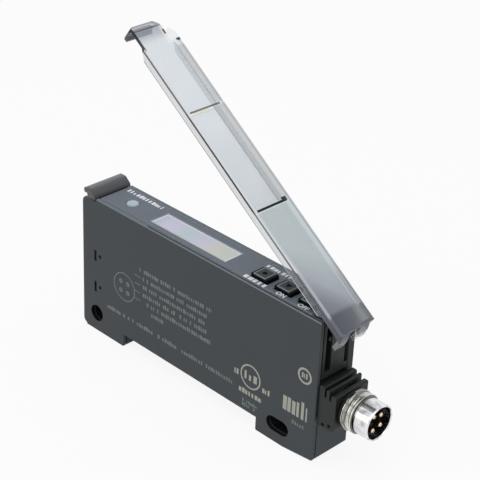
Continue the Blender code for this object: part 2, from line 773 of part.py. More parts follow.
def make_boards():
    box("panel_board", (panel_start + panel_board_inset, board_low_y, panel_board_z),
        (panel_end - gap, board_high_y, panel_board_z + board_thickness), board_green)
    board = box("main_board", (main_board_start, main_board_y, main_board_low),
                (main_board_end, main_board_y + main_board_thickness, panel_board_z - gap), board_green)
    holes = ((main_board_start + board_hole_inset, panel_board_z - gap - board_hole_inset),
             (main_board_end - board_hole_inset, main_board_low + board_hole_inset))
    for number, (x, z) in enumerate(holes):
        cut(board, rod("board_hole_%d_cut" % (number + 1), "Y", main_board_y - gap,
                       main_board_y + main_board_thickness + gap, (x, z), board_hole_radius, sides=18))
    chip_face = main_board_y - gap
    chip_back = chip_face - chip_thickness
    for name, inset, rise, width, height in (
            ("processor_chip", processor_inset, processor_rise, processor_size, processor_size),
            ("driver_chip", driver_inset, driver_rise, driver_length, driver_height)):
        x = main_board_start + inset
        z = main_board_low + rise
        chip = box(name, (x - width / 2, chip_back, z - height / 2),
                   (x + width / 2, chip_face, z + height / 2), chip_black)
        cut(chip, rod("%s_mark_cut" % name, "Y", chip_back - gap, chip_back + slip,
                      (x - width / 2 + chip_mark_inset, z + height / 2 - chip_mark_inset), chip_mark_radius,
                      sides=12))
    can_end = shell_near + capacitor_space
    crimp = chip_face - chip_thickness
    turned("capacitor", [(chip_face, 0), (chip_face, capacitor_radius), (crimp + slip, capacitor_radius),
                         (crimp - slip, capacitor_radius - capacitor_crimp), (crimp - gap, capacitor_radius),
                         (can_end + 2 * slip, capacitor_radius), (can_end, capacitor_radius - 2 * slip),
                         (can_end, 0)],
           (main_board_start + capacitor_inset, 0, main_board_low + capacitor_rise), can_metal, sides=24,
           axis="Y")


# Lever, fibre clamp and optics

def make_lock_lever():
    low = lever_top - lever_tab_height
    x = lever_x
    lip = low + lever_tab_lip
    tab = rounded([(x - lever_tab_back + gap / 2, lip, 0),
                   (x - lever_tab_back, lever_top - small_radius, gap),
                   (x - 2 * small_radius, lever_top, gap), (x + lever_tab_back, lever_top, 2 * small_radius),
                   (x + lever_tab_reach - gap / 2, lip, gap), (x + lever_tab_reach, low, gap / 2),
                   (x + slip, low, slip), (x, lip, slip)], steps=3)
    lever = extruded("lock_lever", [tab], -lever_width / 2, lever_width / 2, lever_grey)
    arm_top = low + 2 * gap
    arm_low = low - 2 * slip
    arm_end = x + lever_tab_reach - 2 * small_radius
    arm_back = x - lever_hub_radius
    arm_front = arm_back + lever_arm_thickness
    inner = hub_half + gap / 2
    arm = rounded([(arm_back, lever_z, 0), (arm_front, lever_z, 0), (arm_front, arm_low, gap),
                   (arm_end, arm_low, slip), (arm_end, arm_top, slip),
                   (x - lever_tab_back + slip, arm_top, gap), (arm_back, arm_low - slip, gap)], steps=3)
    join(lever, extruded("lever_arm_form", [arm], -inner, inner))
    join(lever, rod("lever_hub_form", "Y", -hub_half, hub_half, (x, lever_z), lever_hub_radius, sides=32))
    finger_low = clamp_top + gap
    finger_top = finger_low + lever_finger_height
    finger_end = x + lever_finger_reach
    finger = rounded([(x, finger_low, 0), (finger_end, finger_low, gap), (finger_end, finger_top, gap),
                      (x, finger_top, 0)])
    join(lever, extruded("lever_finger_form", [finger], -finger_half, finger_half))
    for number in range(grip_count):
        height = lever_z + grip_rise + grip_pitch * number
        cut(lever, rod("lever_grip_%d_cut" % (number + 1), "Y", -finger_half - clamp_margin,
                       finger_half + clamp_margin, (arm_back, height), grip_radius, sides=12))
    cut(lever, rod("lever_bore_cut", "Y", -lever_width, lever_width, (x, lever_z), lever_pin_radius + slip))
    move_origin(lever, (x, 0, lever_z))
    rod("lever_pin", "Y", -hub_half - 2 * gap, far_face - end_wall / 2 - gap / 2, (x, lever_z),
        lever_pin_radius, finish=steel)


def make_fibre_optics():
    block = box("optical_block", (case_left + end_wall + gap, -optics_half, optics_bottom),
                (optics_end, optics_half, optics_top), optics_black)
    for name, height in (("upper", fibre_upper_z), ("lower", fibre_lower_z)):
        cut(block, rod("%s_bore_cut" % name, "X", case_left, optics_end + gap, (0, height),
                       fibre_bore_radius))
    half = clamp_thickness / 2
    cut(block, box("clamp_slot_cut", (clamp_x - half - gap, -clamp_half - gap, clamp_bottom - gap),
                   (clamp_x + half + gap, clamp_half + gap, optics_top + gap)))
    head_low = clamp_top - clamp_head_height
    head_end = clamp_spring_x + clamp_spring_radius + clamp_spring_wire + gap
    clamp = box("fibre_clamp", (clamp_x - half, -clamp_half, clamp_bottom),
                (clamp_x + half, clamp_half, clamp_top - gap), clamp_brass)
    join(clamp, box("clamp_head_form", (clamp_x - half, -finger_half, head_low),
                    (head_end, finger_half, clamp_top)))
    for name, height in (("upper_eye", fibre_upper_z), ("lower_eye", fibre_lower_z)):
        cut(clamp, rod("%s_cut" % name, "X", clamp_x - clamp_thickness, clamp_x + clamp_thickness,
                       (0, height), clamp_eye_radius))
    coil("clamp_spring", "Z", optics_top + gap / 2, head_low - gap / 2, (clamp_spring_x, 0),
         clamp_spring_radius, clamp_spring_wire, clamp_spring_turns)
    start = optics_end + gap
    rim = diode_radius + diode_rim
    dome = 0.3 * diode_radius
    end = start + emitter_length
    turned("emitter_led", [(end, 0), (end, rim), (end - 2 * gap, rim), (end - 2 * gap, diode_radius),
                           (start + 2 * dome, diode_radius), (start + 0.8 * dome, 0.8 * diode_radius),
                           (start, dome), (start, 0)],
           (0, 0, fibre_upper_z), led_red, sides=24)
    inner = diode_radius - diode_rim
    turned("receiver_diode", [(start + receiver_length, 0), (start + receiver_length, inner),
                              (start + 2 * dome, inner), (start + 0.8 * dome, 0.8 * inner),
                              (start + slip, dome), (start + slip, 0)],
           (0, 0, fibre_lower_z), diode_black, sides=24)
    room = shield_half - shield_wall
    end = start + receiver_length + gap + shield_wall
    shield = box("receiver_shield", (start, -shield_half, fibre_lower_z - shield_half),
                 (end, shield_half, fibre_lower_z + shield_half), can_metal)
    cut(shield, box("shield_room_cut", (start - gap, -room, fibre_lower_z - room),
                    (end - shield_wall, room, fibre_lower_z + room)))


# Rail hook

def make_rail_hook():
    tip = rail_slot_left + hook_reach
    outline = [(hook_rear_x, -hook_rear_half), (hook_shoulder_x, -hook_rear_half),
               (hook_shoulder_x, -hook_nose_half), (tip, -hook_nose_half), (tip, hook_nose_half),
               (hook_shoulder_x, hook_nose_half), (hook_shoulder_x, hook_rear_half),
               (hook_rear_x, hook_rear_half)]
    hook = extruded("rail_hook", [outline], hook_low_z, hook_top_z, hook_black, axis="Z")
    ramp_start = tip - hook_ramp_length
    ramp_top = hook_top_z - hook_ramp_edge
    ramp = [(tip + gap, hook_low_z - gap), (tip + gap, ramp_top), (tip, ramp_top), (ramp_start, hook_low_z),
            (ramp_start, hook_low_z - gap)]
    cut(hook, extruded("hook_ramp_cut", [ramp], -hook_rear_half, hook_rear_half))
    move_origin(hook, (hook_rear_x, 0, hook_middle_z))
    coil("rail_spring", "X", hook_rear_x - spring_room, hook_rear_x - gap / 2, (0, hook_middle_z),
         spring_radius, spring_wire, spring_turns)


def coil(name, axis, start, end, centre, radius, wire, turns):
    # One turn of wire swept round the axis and repeated; its two open ends are filled at the end.
    rise = end - start - 2 * wire
    sides = 7
    profile = bmesh.new()
    ring = Matrix.Translation((radius, 0, 0)) @ Matrix.Rotation(math.pi / 2, 4, "X")
    bmesh.ops.create_circle(profile, cap_ends=False, segments=sides, radius=wire, matrix=ring)
    mesh = bpy.data.meshes.new(name + "_wire")
    profile.to_mesh(mesh)
    profile.free()
    drawn = add_object(name + "_wire", mesh)
    screw = drawn.modifiers.new("coiled", "SCREW")
    screw.axis = "Z"
    screw.iterations = turns
    screw.screw_offset = rise / turns
    screw.steps = 12
    screw.render_steps = 12
    bpy.context.view_layer.update()
    graph = bpy.context.evaluated_depsgraph_get()
    swept = bpy.data.meshes.new_from_object(drawn.evaluated_get(graph))
    bpy.data.objects.remove(drawn, do_unlink=True)
    shape = bmesh.new()
    shape.from_mesh(swept)
    bmesh.ops.remove_doubles(shape, verts=shape.verts, dist=1e-6)
    bmesh.ops.holes_fill(shape, edges=shape.edges, sides=sides)
    turn = {"X": Matrix.Rotation(math.pi / 2, 4, "Y"), "Z": Matrix()}[axis]
    middle = list(centre)
    middle.insert("XYZ".index(axis), start + wire)
    bmesh.ops.transform(shape, matrix=Matrix.Translation(middle) @ turn, verts=shape.verts)
    mesh = mesh_from(name, shape)
    mesh.shade_smooth()
    mesh.set_sharp_from_angle(angle=math.radians(50))
    return add_object(name, mesh, steel)


def move_origin(obj, place):
    # The shape stays where it is and its origin goes to the joint.
    offset = Matrix.Translation([there - here for there, here in zip(place, obj.location)])
    obj.data.transform(offset.inverted())
    obj.location = place


# Dust cover

def make_lobe_profile():
    # A curved strip that starts inside the plate and hangs down past the hinge axis.
    x, z = lobe_centre
    first = math.asin((cover_top - cover_thickness / 2 - z) / lobe_radius)
    last = math.asin((-lobe_drop - z) / lobe_radius)
    inner = lobe_radius - cover_thickness
    steps = 9
    angles = [first + (last - first) * step / steps for step in range(steps + 1)]
    outside = [(x + lobe_radius * math.cos(angle), z + lobe_radius * math.sin(angle)) for angle in angles]
    inside = [(x + inner * math.cos(angle), z + lobe_radius * math.sin(angle)) for angle in angles]
    return outside + inside[::-1]


def make_dust_cover():
    axis = pivot("dust_cover_axis", (hinge_x, 0, hinge_z), cover_open_angle)
    under = cover_top - cover_thickness
    middle = (cover_top + under) / 2
    lip_inner = cover_tip - lip_wall
    barb = lip_inner - lip_barb
    skirt_front = cover_tip - skirt_setback
    heel_z = skirt_bottom + skirt_heel_rise
    tip_under = under + seam / 2
    profile = [(-cover_tip, lip_bottom), (-barb, lip_bottom), (-barb, lip_bottom + lip_barb_height),
               (-lip_inner, lip_bottom + 2 * lip_barb), (-lip_inner, tip_under), (-skirt_front, tip_under),
               (-skirt_front + skirt_slope, skirt_bottom), (-arm_radius - gap, skirt_bottom),
               (-arm_radius + 2 * small_radius, heel_z), (cover_heel, heel_z), (cover_heel, cover_top),
               (-cover_tip + cover_tip_slope, cover_top), (-cover_tip, cover_top - cover_tip_chamfer)]
    cover = extruded("dust_cover", [profile], -cover_half, cover_half, cover_clear)
    round_edges(cover, lambda point: point.x < -cover_tip + 1e-6 and point.y < 0, gap, segments=2)
    shaping = [("DIFFERENCE", box("channel_cut", (-skirt_front - gap, -cover_inner, -cover_top),
                                  (2 * cover_heel, cover_inner, under)))]
    for number, place in enumerate(rib_places):
        shaping.append(("UNION", box("rib_%d_form" % (number + 1),
                                     (-place - rib_thickness / 2, -cover_inner - gap, under - rib_depth),
                                     (-place + rib_thickness / 2, cover_inner + gap, middle))))
    lobe = make_lobe_profile()
    lobe_side = cover_inner + gap / 2
    for side, low, high in (("near", -lobe_side, column_near - slip),
                            ("far", column_far - lobe_corner, lobe_side)):
        form = extruded("%s_lobe_form" % side, [lobe], low, high)
        shaping.append(("UNION", form))
        # The two corners at the end of the lobe are rounded.
        base = -lobe_drop
        ring = rounded([(low - gap, base - gap, 0), (high + gap, base - gap, 0),
                        (high + gap, base + 2 * lobe_corner, 0), (high, base + 2 * lobe_corner, 0),
                        (high, base, lobe_corner), (low, base, lobe_corner),
                        (low, base + 2 * lobe_corner, 0), (low - gap, base + 2 * lobe_corner, 0)], steps=4)
        cut(form, extruded("%s_lobe_corner_cut" % side, [ring], lobe_centre[0],
                           lobe_centre[0] + 2 * lobe_radius, axis="X"))
    turns = [math.pi * (1 + step / 12) for step in range(13)]
    arm = [(arm_radius, middle), (-arm_radius, middle)]
    arm += [(arm_radius * math.cos(turn), arm_radius * math.sin(turn)) for turn in turns]
    for side, low, high in (("near", cheek_y + arm_gap, column_near - arm_gap),
                            ("far", column_far + gap, pad_y - gap)):
        shaping.append(("UNION", extruded("%s_arm_form" % side, [arm], low, high)))
    shaping.append(("DIFFERENCE", rod("hinge_bore_cut", "Y", -case_width, case_width, (0, 0),
                                      hinge_pin_radius + slip)))
    beyond = cover_tip + end_wall
    lip_far_y = cover_half - lip_inset
    lip_mid_y = lip_far_y - lip_slope
    notch_y = lip_far_y + ear_notch_width
    ear_end = cover_tip - ear_setback
    ear_back = ear_end - lip_inset + gap
    notch_end = ear_end - ear_notch
    shaping.append(("DIFFERENCE", extruded("tip_cut", [rounded([
        (-beyond, lip_mid_y, 0), (-cover_tip, lip_mid_y, 2 * small_radius),
        (-cover_tip + arm_radius, lip_far_y, gap), (-notch_end, lip_far_y, gap), (-notch_end, notch_y, gap),
        (-ear_end, notch_y, gap / 2), (-ear_back, cover_half, 2 * gap), (-ear_back, case_width, 0),
        (-beyond, case_width, 0)], steps=4)], -cover_top, 2 * cover_top, axis="Z")))
    for operation, tool in shaping:
        tool.parent = axis
        for step in tool.modifiers:
            step.object.parent = axis
        boolean(cover, tool, operation)
    cover.parent = axis
    return cover


# Hinge block and plug

def make_hinge_block():
    left = panel_end + hinge_block_space
    low = block_top + hinge_block_rise
    top = case_top - hinge_block_top_drop
    outline = rounded([(left, low, 2 * slip), (case_right, low, 2 * slip), (case_right, top, 3 * gap),
                       (left, top, 3 * gap)])
    block = extruded("hinge_block", [outline], shell_near, pad_y - gap, end_black)
    for name, start, end in (("near", cheek_y, column_near), ("far", column_far, pad_y)):
        cut(block, box("%s_groove_cut" % name, (left - gap, start, low + groove_rise),
                       (case_right + gap, end, top + gap)))
    join(block, rod("stop_boss_form", "X", left + 2 * stop_radius, case_right - 2 * slip,
                    (column_near - stop_radius + small_radius, hinge_z - stop_drop), stop_radius, sides=14))
    cut(block, rod("cover_pin_bore_cut", "Y", shell_near - gap, pad_y + gap, (hinge_x, hinge_z),
                   hinge_pin_radius + slip))
    rod("hinge_pin", "Y", shell_near, far_face - end_wall / 2 - gap / 2, (hinge_x, hinge_z),
        hinge_pin_radius, finish=steel)


def make_plug_block():
    # The steps on top, from the plug end back: a low ridge, a higher one and the full height.
    front = block_end - ridge_pitch
    first_slot = front - ridge_slot_width
    middle = first_slot - ridge_pitch + ridge_slot_width
    second_slot = middle - ridge_slot_width
    low = block_top - ridge_slot_depth
    front_top = block_top - front_ridge_drop
    middle_top = block_top - ridge_step
    edge = gap / 2
    outline = rounded([(block_start, block_low, gap), (block_end, block_low, 2 * gap),
                       (block_end, front_top, gap), (front, front_top, gap), (front, low - ridge_step, edge),
                       (first_slot, low - ridge_step, edge), (first_slot, middle_top, gap),
                       (middle, middle_top, gap), (middle, low, edge), (second_slot, low, edge),
                       (second_slot, block_top, gap), (block_start, block_top, gap)], steps=3)
    block = extruded("connector_block", [outline], block_near, block_far, end_black)
    join(block, box("tongue_form", (panel_end + gap, shell_near, end_opening_z + gap),
                    (block_start + gap, pad_y - gap, block_top - gap)))
    cut(block, rod("stem_bore_cut", "X", block_start + gap, block_end + gap, (0, plug_z),
                   shell_stem_radius + gap, sides=40))
    cut(block, rod("wire_bore_cut", "X", panel_end, block_start + 2 * gap, (0, plug_z),
                   wire_bore_radius, sides=32))
    for number, (back, drop) in enumerate(gate_marks):
        cut(block, rod("gate_mark_%d_cut" % (number + 1), "Y", block_near - gap,
                       block_near + gate_mark_depth, (block_end - back, plug_z - drop), gate_mark_radius,
                       sides=14))
    start = block_end + gap
    end = start + seal_length
    edge = seal_radius - insert_edge
    bore = shell_stem_radius + slip
    turned("sealing_ring", [(end, edge), (end - insert_edge, seal_radius),
                            (start + insert_edge, seal_radius), (start, edge), (start, bore), (end, bore)],
           (0, 0, plug_z), seal_black, sides=40)


def make_plug():
    stem_back = block_start + 2 * gap + slip
    undercut = thread_root - undercut_depth
    outer = [(plug_end, nose_radius - nose_edge), (plug_end - nose_edge, nose_radius), (nose_x, nose_radius),
             (nose_x, undercut), (undercut_x, undercut)]
    pitch = thread_length / thread_rings
    for ring in range(thread_rings):
        crest = undercut_x - (ring + 0.5) * pitch
        outer += [(crest + 0.36 * pitch, thread_root), (crest + 0.1 * pitch, thread_radius),
                  (crest - 0.1 * pitch, thread_radius), (crest - 0.36 * pitch, thread_root)]
    outer += [(thread_x, thread_root), (thread_x, shell_flange_radius - slip),
              (thread_x - slip, shell_flange_radius), (flange_x, shell_flange_radius),
              (flange_x, shell_stem_radius), (stem_back, shell_stem_radius)]
    stem_bore = shell_stem_radius - shell_wall
    seat_x = thread_x + 2 * slip
    bore = [(stem_back, stem_bore), (seat_x, stem_bore), (seat_x, nose_bore),
            (plug_end - nose_edge, nose_bore), (plug_end, nose_bore + nose_edge / 2)]
    turned("connector_shell", outer + bore, (0, 0, plug_z), nickel, sides=44)
    body_radius = nose_bore - gap
    back = stem_back - gap
    shoulder = seat_x + gap
    insert = turned("connector_insert", [(insert_face, 0), (insert_face, body_radius - insert_edge),
                                         (insert_face - insert_edge, body_radius), (shoulder, body_radius),
                                         (shoulder, stem_bore - gap), (back, stem_bore - gap), (back, 0)],
                    (0, 0, plug_z), insert_brown, sides=40)
    cut(insert, box("key_groove_cut", (insert_face - insert_key_depth, nose_bore - insert_key_reach,
                                       plug_z - insert_key / 2),
                    (insert_face + gap, nose_bore, plug_z + insert_key / 2)))
    tip = plug_end - pin_tip_inset
    tail = block_start - pin_tail_length - gap
    slim = 0.6 * pin_radius
    for number, (y, up) in enumerate(pin_places):
        cut(insert, rod("pin_%d_cut" % (number + 1), "X", stem_back - 2 * gap, insert_face + gap,
                        (y, plug_z + up), pin_radius + slip, sides=16))
        turned("contact_pin_%d" % (number + 1), [(tip, 0), (tip, pin_tip_radius), (tip - gap, pin_radius),
                                                (tail + pin_tail_slim, pin_radius),
                                                (tail + pin_tail_slim, slim), (tail, slim), (tail, 0)],
               (0, y, plug_z + up), gold, sides=16)


clear_scene()
pieces = new_collection("fibre_sensor_amplifier")
tools = new_collection("shape_tools")

slate = new_finish("slate_plastic", (0.062, 0.072, 0.080), 0.55)
slate_plate = new_finish("slate_plate_plastic", (0.064, 0.074, 0.082), 0.55)
panel_grey = new_finish("panel_plastic", (0.15, 0.165, 0.19), 0.5)
key_black = new_finish("key_plastic", (0.03, 0.031, 0.034), 0.5)
window_clear = new_finish("window_plastic", (0.62, 0.64, 0.66), 0.12, alpha=0.5)
display_pale = new_finish("display_glass", (0.55, 0.56, 0.62), 0.3)
lens_clear = new_finish("lens_plastic", (0.55, 0.62, 0.68), 0.15, alpha=0.7)
led_pale = new_finish("led_resin", (0.7, 0.72, 0.6), 0.3)
led_red = new_finish("emitter_resin", (0.5, 0.05, 0.04), 0.2)
diode_black = new_finish("diode_resin", (0.02, 0.02, 0.025), 0.2)
switch_metal = new_finish("switch_plate", (0.6, 0.6, 0.58), 0.35, metallic=1.0)
can_metal = new_finish("tin_plate", (0.66, 0.66, 0.64), 0.3, metallic=1.0)
board_green = new_finish("board_laminate", (0.03, 0.16, 0.07), 0.45)
chip_black = new_finish("chip_resin", (0.02, 0.02, 0.022), 0.6)
lever_grey = new_finish("lever_plastic", (0.09, 0.098, 0.107), 0.45)
steel = new_finish("pin_steel", (0.62, 0.62, 0.61), 0.3, metallic=1.0)
clamp_brass = new_finish("clamp_bronze", (0.62, 0.42, 0.2), 0.35, metallic=1.0)
optics_black = new_finish("optics_plastic", (0.015, 0.015, 0.016), 0.7)
hook_black = new_finish("hook_plastic", (0.025, 0.025, 0.027), 0.5)
cover_clear = new_finish("cover_plastic", (0.5, 0.52, 0.54), 0.1, alpha=0.35)
end_black = new_finish("end_plastic", (0.02, 0.02, 0.021), 0.45)
seal_black = new_finish("seal_rubber", (0.015, 0.015, 0.015), 0.7)
nickel = new_finish("plug_nickel", (0.7, 0.68, 0.64), 0.22, metallic=1.0)
insert_brown = new_finish("insert_plastic", (0.03, 0.024, 0.02), 0.5)
gold = new_finish("pin_gold", (0.8, 0.6, 0.3), 0.25, metallic=1.0)

make_case_shell()
make_case_side_plate()
make_control_panel()
make_display()
make_keys()
make_boards()
make_lock_lever()
make_fibre_optics()
make_rail_hook()
make_hinge_block()
make_plug_block()
make_plug()
make_dust_cover()
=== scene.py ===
# Dresses the packed fibre optic sensor amplifier: finishes, print, display, glow and light.
import json
import math

import bpy
from mathutils import Matrix, Vector


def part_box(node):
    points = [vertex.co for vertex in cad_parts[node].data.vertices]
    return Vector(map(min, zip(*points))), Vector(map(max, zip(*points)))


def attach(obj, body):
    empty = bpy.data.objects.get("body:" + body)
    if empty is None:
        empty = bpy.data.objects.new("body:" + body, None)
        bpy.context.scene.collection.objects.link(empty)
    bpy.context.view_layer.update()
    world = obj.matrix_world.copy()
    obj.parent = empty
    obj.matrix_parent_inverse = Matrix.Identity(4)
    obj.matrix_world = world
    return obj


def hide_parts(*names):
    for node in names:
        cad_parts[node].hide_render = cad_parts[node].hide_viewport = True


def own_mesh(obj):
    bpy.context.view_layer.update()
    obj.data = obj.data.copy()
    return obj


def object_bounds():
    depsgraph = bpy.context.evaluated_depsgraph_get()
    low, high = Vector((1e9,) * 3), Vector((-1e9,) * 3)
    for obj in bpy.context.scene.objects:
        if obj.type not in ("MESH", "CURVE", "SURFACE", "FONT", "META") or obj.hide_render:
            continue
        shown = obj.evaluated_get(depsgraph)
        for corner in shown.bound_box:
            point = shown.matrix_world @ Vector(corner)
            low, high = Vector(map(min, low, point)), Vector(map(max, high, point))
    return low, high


mm = 0.001
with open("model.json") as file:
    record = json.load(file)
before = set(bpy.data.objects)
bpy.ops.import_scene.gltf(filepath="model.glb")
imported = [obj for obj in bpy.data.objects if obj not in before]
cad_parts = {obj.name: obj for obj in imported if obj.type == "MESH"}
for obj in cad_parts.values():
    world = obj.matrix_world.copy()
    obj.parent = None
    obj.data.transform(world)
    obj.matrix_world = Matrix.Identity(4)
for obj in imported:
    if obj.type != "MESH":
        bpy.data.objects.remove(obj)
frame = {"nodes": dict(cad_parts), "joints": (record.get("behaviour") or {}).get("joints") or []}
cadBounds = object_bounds()
parts = frame["nodes"]
print("frame loaded:", len(parts), "pieces")


# Small helpers

def linear(red, green, blue):
    # An 8-bit screen colour as the linear values that shaders use.
    values = []
    for level in (red, green, blue):
        share = level / 255
        values.append(share / 12.92 if share <= 0.04045 else ((share + 0.055) / 1.055) ** 2.4)
    return (*values, 1.0)


def inMillimetres(box):
    return [[value / mm for value in corner] for corner in box]


def feed(tree, socket, value):
    # Gives a socket a constant, or a link from another node.
    if isinstance(value, (int, float, tuple, list)):
        socket.default_value = value
    else:
        tree.links.new(value, socket)


def feedAll(tree, node, values):
    for label, value in values.items():
        feed(tree, node.inputs[label], value)


def addNode(tree, kind, values=None, **settings):
    node = tree.nodes.new(kind)
    for setting, value in settings.items():
        setattr(node, setting, value)
    feedAll(tree, node, values or {})
    return node


def mathNode(tree, operation, *values, clamp=False):
    node = addNode(tree, "ShaderNodeMath", operation=operation, use_clamp=clamp)
    for socket, value in zip(node.inputs, values):
        feed(tree, socket, value)
    return node.outputs[0]


def plus(tree, first, second, clamp=False):
    return mathNode(tree, "ADD", first, second, clamp=clamp)


def minus(tree, first, second, clamp=False):
    return mathNode(tree, "SUBTRACT", first, second, clamp=clamp)


def times(tree, first, second, clamp=False):
    return mathNode(tree, "MULTIPLY", first, second, clamp=clamp)


def spread(tree, value, start, gain):
    # A start and a gain turn a value from 0 to 1 into its own range.
    return plus(tree, start, times(tree, value, gain))


def under(tree, value, limit):
    return mathNode(tree, "LESS_THAN", value, limit)


def beyond(tree, value, limit):
    return mathNode(tree, "GREATER_THAN", value, limit)


def between(tree, value, low, high):
    return times(tree, beyond(tree, value, low), under(tree, value, high))


def distance(tree, value, middle):
    return mathNode(tree, "ABSOLUTE", minus(tree, value, middle))


def around(tree, value, middle, half):
    return under(tree, distance(tree, value, middle), half)


def fromAxis(tree, side, rise):
    return mathNode(tree, "SQRT", plus(tree, times(tree, side, side), times(tree, rise, rise)))


def combine(tree, operation, masks):
    total = masks[0]
    for mask in masks[1:]:
        total = mathNode(tree, operation, total, mask)
    return total


def allOf(tree, *masks):
    return combine(tree, "MULTIPLY", masks)


def anyOf(tree, *masks):
    return combine(tree, "MAXIMUM", masks)


def mixColours(tree, factor, first, second, blend="MIX"):
    node = addNode(tree, "ShaderNodeMix", data_type="RGBA", blend_type=blend)
    for place, value in ((0, factor), (6, first), (7, second)):
        feed(tree, node.inputs[place], value)
    return node.outputs[2]


def paintOver(tree, colour, *layers):
    # Lays shades over a colour, each through its mask.
    for mask, shade in layers:
        colour = mixColours(tree, mask, colour, shade)
    return colour


def shaded(tree, colour, brightness):
    grey = addNode(tree, "ShaderNodeCombineColor")
    for socket in grey.inputs:
        tree.links.new(brightness, socket)
    return mixColours(tree, 1.0, colour, grey.outputs[0], "MULTIPLY")


def rampNode(tree, value, stops):
    # Colours, or greys from 0 to 1, at rising places, with soft steps between them.
    first, last = stops[0][0], stops[-1][0]
    share = mathNode(tree, "DIVIDE", minus(tree, value, first), last - first, clamp=True)
    node = addNode(tree, "ShaderNodeValToRGB")
    marks = node.color_ramp.elements
    marks.remove(marks[1])
    for count, (place, shade) in enumerate(stops):
        mark = marks.new((place - first) / (last - first)) if count else marks[0]
        mark.color = linear(*shade) if isinstance(shade, tuple) else (shade, shade, shade, 1.0)
    tree.links.new(share, node.inputs[0])
    return node.outputs[0]


def objectPlace(tree):
    return addNode(tree, "ShaderNodeTexCoord").outputs["Object"]


def splitNode(tree, vector):
    return tuple(addNode(tree, "ShaderNodeSeparateXYZ", {"Vector": vector}).outputs)


def partCoordinates(tree):
    # Object coordinates in millimetres as three values.
    scaled = addNode(tree, "ShaderNodeVectorMath", {"Vector": objectPlace(tree), "Scale": 1 / mm}, operation="SCALE")
    return splitNode(tree, scaled.outputs[0])


def surfaceNormal(tree):
    return addNode(tree, "ShaderNodeNewGeometry").outputs["Normal"]


def facing(tree, axis):
    # How far the surface faces along X, Y or Z, from -1 to 1.
    return splitNode(tree, surfaceNormal(tree))["XYZ".index(axis)]


def noiseNode(tree, scale, vector, detail=2.0):
    return addNode(tree, "ShaderNodeTexNoise", {"Scale": scale, "Detail": detail, "Vector": vector}).outputs[0]


def roundedNormal(tree, radius):
    return addNode(tree, "ShaderNodeBevel", {"Radius": radius}, samples=4).outputs[0]


def bumpNode(tree, height, normal, reach, strength):
    values = {"Distance": reach, "Strength": strength, "Height": height, "Normal": normal}
    return addNode(tree, "ShaderNodeBump", values).outputs[0]


def newGroup(name, inputs, outputs):
    # Inputs come with a default number or colour, and outputs with their kind.
    group = bpy.data.node_groups.new(name, "ShaderNodeTree")
    for label, value in inputs.items():
        kind = "NodeSocketColor" if isinstance(value, tuple) else "NodeSocketFloat"
        group.interface.new_socket(label, in_out="INPUT", socket_type=kind).default_value = value
    for label, kind in outputs.items():
        group.interface.new_socket(label, in_out="OUTPUT", socket_type=kind)
    return group, addNode(group, "NodeGroupInput").outputs, addNode(group, "NodeGroupOutput").inputs


# Effects that several finishes share

mouldedDetail = {"driftScale": 90.0, "driftDetail": 3.0, "driftGain": 2.0, "edgeGain": 3.0, "roughGain": 0.15,
                 "edgeShine": -0.08, "bumpHeight": 0.02}


def makeMouldedGroup():
    # Fine moulded texture: slow colour drift, a fine bump, and rounded edges with a painted highlight along them.
    group, given, result = newGroup(
        "mouldedSurface",
        {"colour": (0.5, 0.5, 0.5, 1), "drift": 0.1, "grainSize": 0.12, "grainDepth": 0.3, "edgeRadius": 0.12,
         "edgeLight": 0.2, "roughness": 0.5},
        {"colour": "NodeSocketColor", "roughness": "NodeSocketFloat", "normal": "NodeSocketVector"})
    look = mouldedDetail
    place = objectPlace(group)
    fine = noiseNode(group, mathNode(group, "DIVIDE", 1 / mm, given["grainSize"]), place)
    slow = noiseNode(group, look["driftScale"], place, look["driftDetail"])
    rounded = roundedNormal(group, times(group, given["edgeRadius"], mm))
    match = addNode(group, "ShaderNodeVectorMath", operation="DOT_PRODUCT")
    group.links.new(rounded, match.inputs[0])
    group.links.new(surfaceNormal(group), match.inputs[1])
    edge = times(group, minus(group, 1.0, match.outputs["Value"]), look["edgeGain"], clamp=True)
    drift = times(group, minus(group, slow, 0.5), given["drift"])
    bright = spread(group, drift, 1.0, look["driftGain"])
    bright = plus(group, bright, times(group, edge, given["edgeLight"]))
    rough = spread(group, minus(group, fine, 0.5), given["roughness"], look["roughGain"])
    rough = plus(group, rough, times(group, edge, look["edgeShine"]), clamp=True)
    group.links.new(shaded(group, given["colour"], bright), result["colour"])
    group.links.new(rough, result["roughness"])
    group.links.new(bumpNode(group, fine, rounded, look["bumpHeight"] * mm, given["grainDepth"]), result["normal"])
    return group


# length and height of a bar, each as its least share and its spread
barShape = {"length": (0.45, 0.4), "height": (0.62, 0.38), "otherSeed": 37.3}


def makeInkBarsGroup():
    # One row of printed bars of uneven length between two ends, as a mask.
    group, given, result = newGroup(
        "inkBars",
        {"across": 0.0, "up": 0.0, "start": 0.0, "end": 10.0, "base": 0.0, "height": 1.0, "pitch": 0.8, "seed": 0.0,
         "blankShare": 0.15},
        {"mask": "NodeSocketFloat"})
    along = mathNode(group, "DIVIDE", minus(group, given["across"], given["start"]), given["pitch"])
    cell = plus(group, mathNode(group, "FLOOR", along), given["seed"])
    chance, other = (addNode(group, "ShaderNodeTexWhiteNoise", {"W": seed}, noise_dimensions="1D").outputs["Value"]
                     for seed in (cell, plus(group, cell, barShape["otherSeed"])))
    dash = under(group, mathNode(group, "FRACT", along), spread(group, other, *barShape["length"]))
    rise = mathNode(group, "DIVIDE", minus(group, given["up"], given["base"]), given["height"])
    tall = between(group, rise, 0.0, spread(group, chance, *barShape["height"]))
    mask = allOf(group, beyond(group, chance, given["blankShare"]), dash, tall,
                 between(group, given["across"], given["start"], given["end"]))
    group.links.new(mask, result["mask"])
    return group


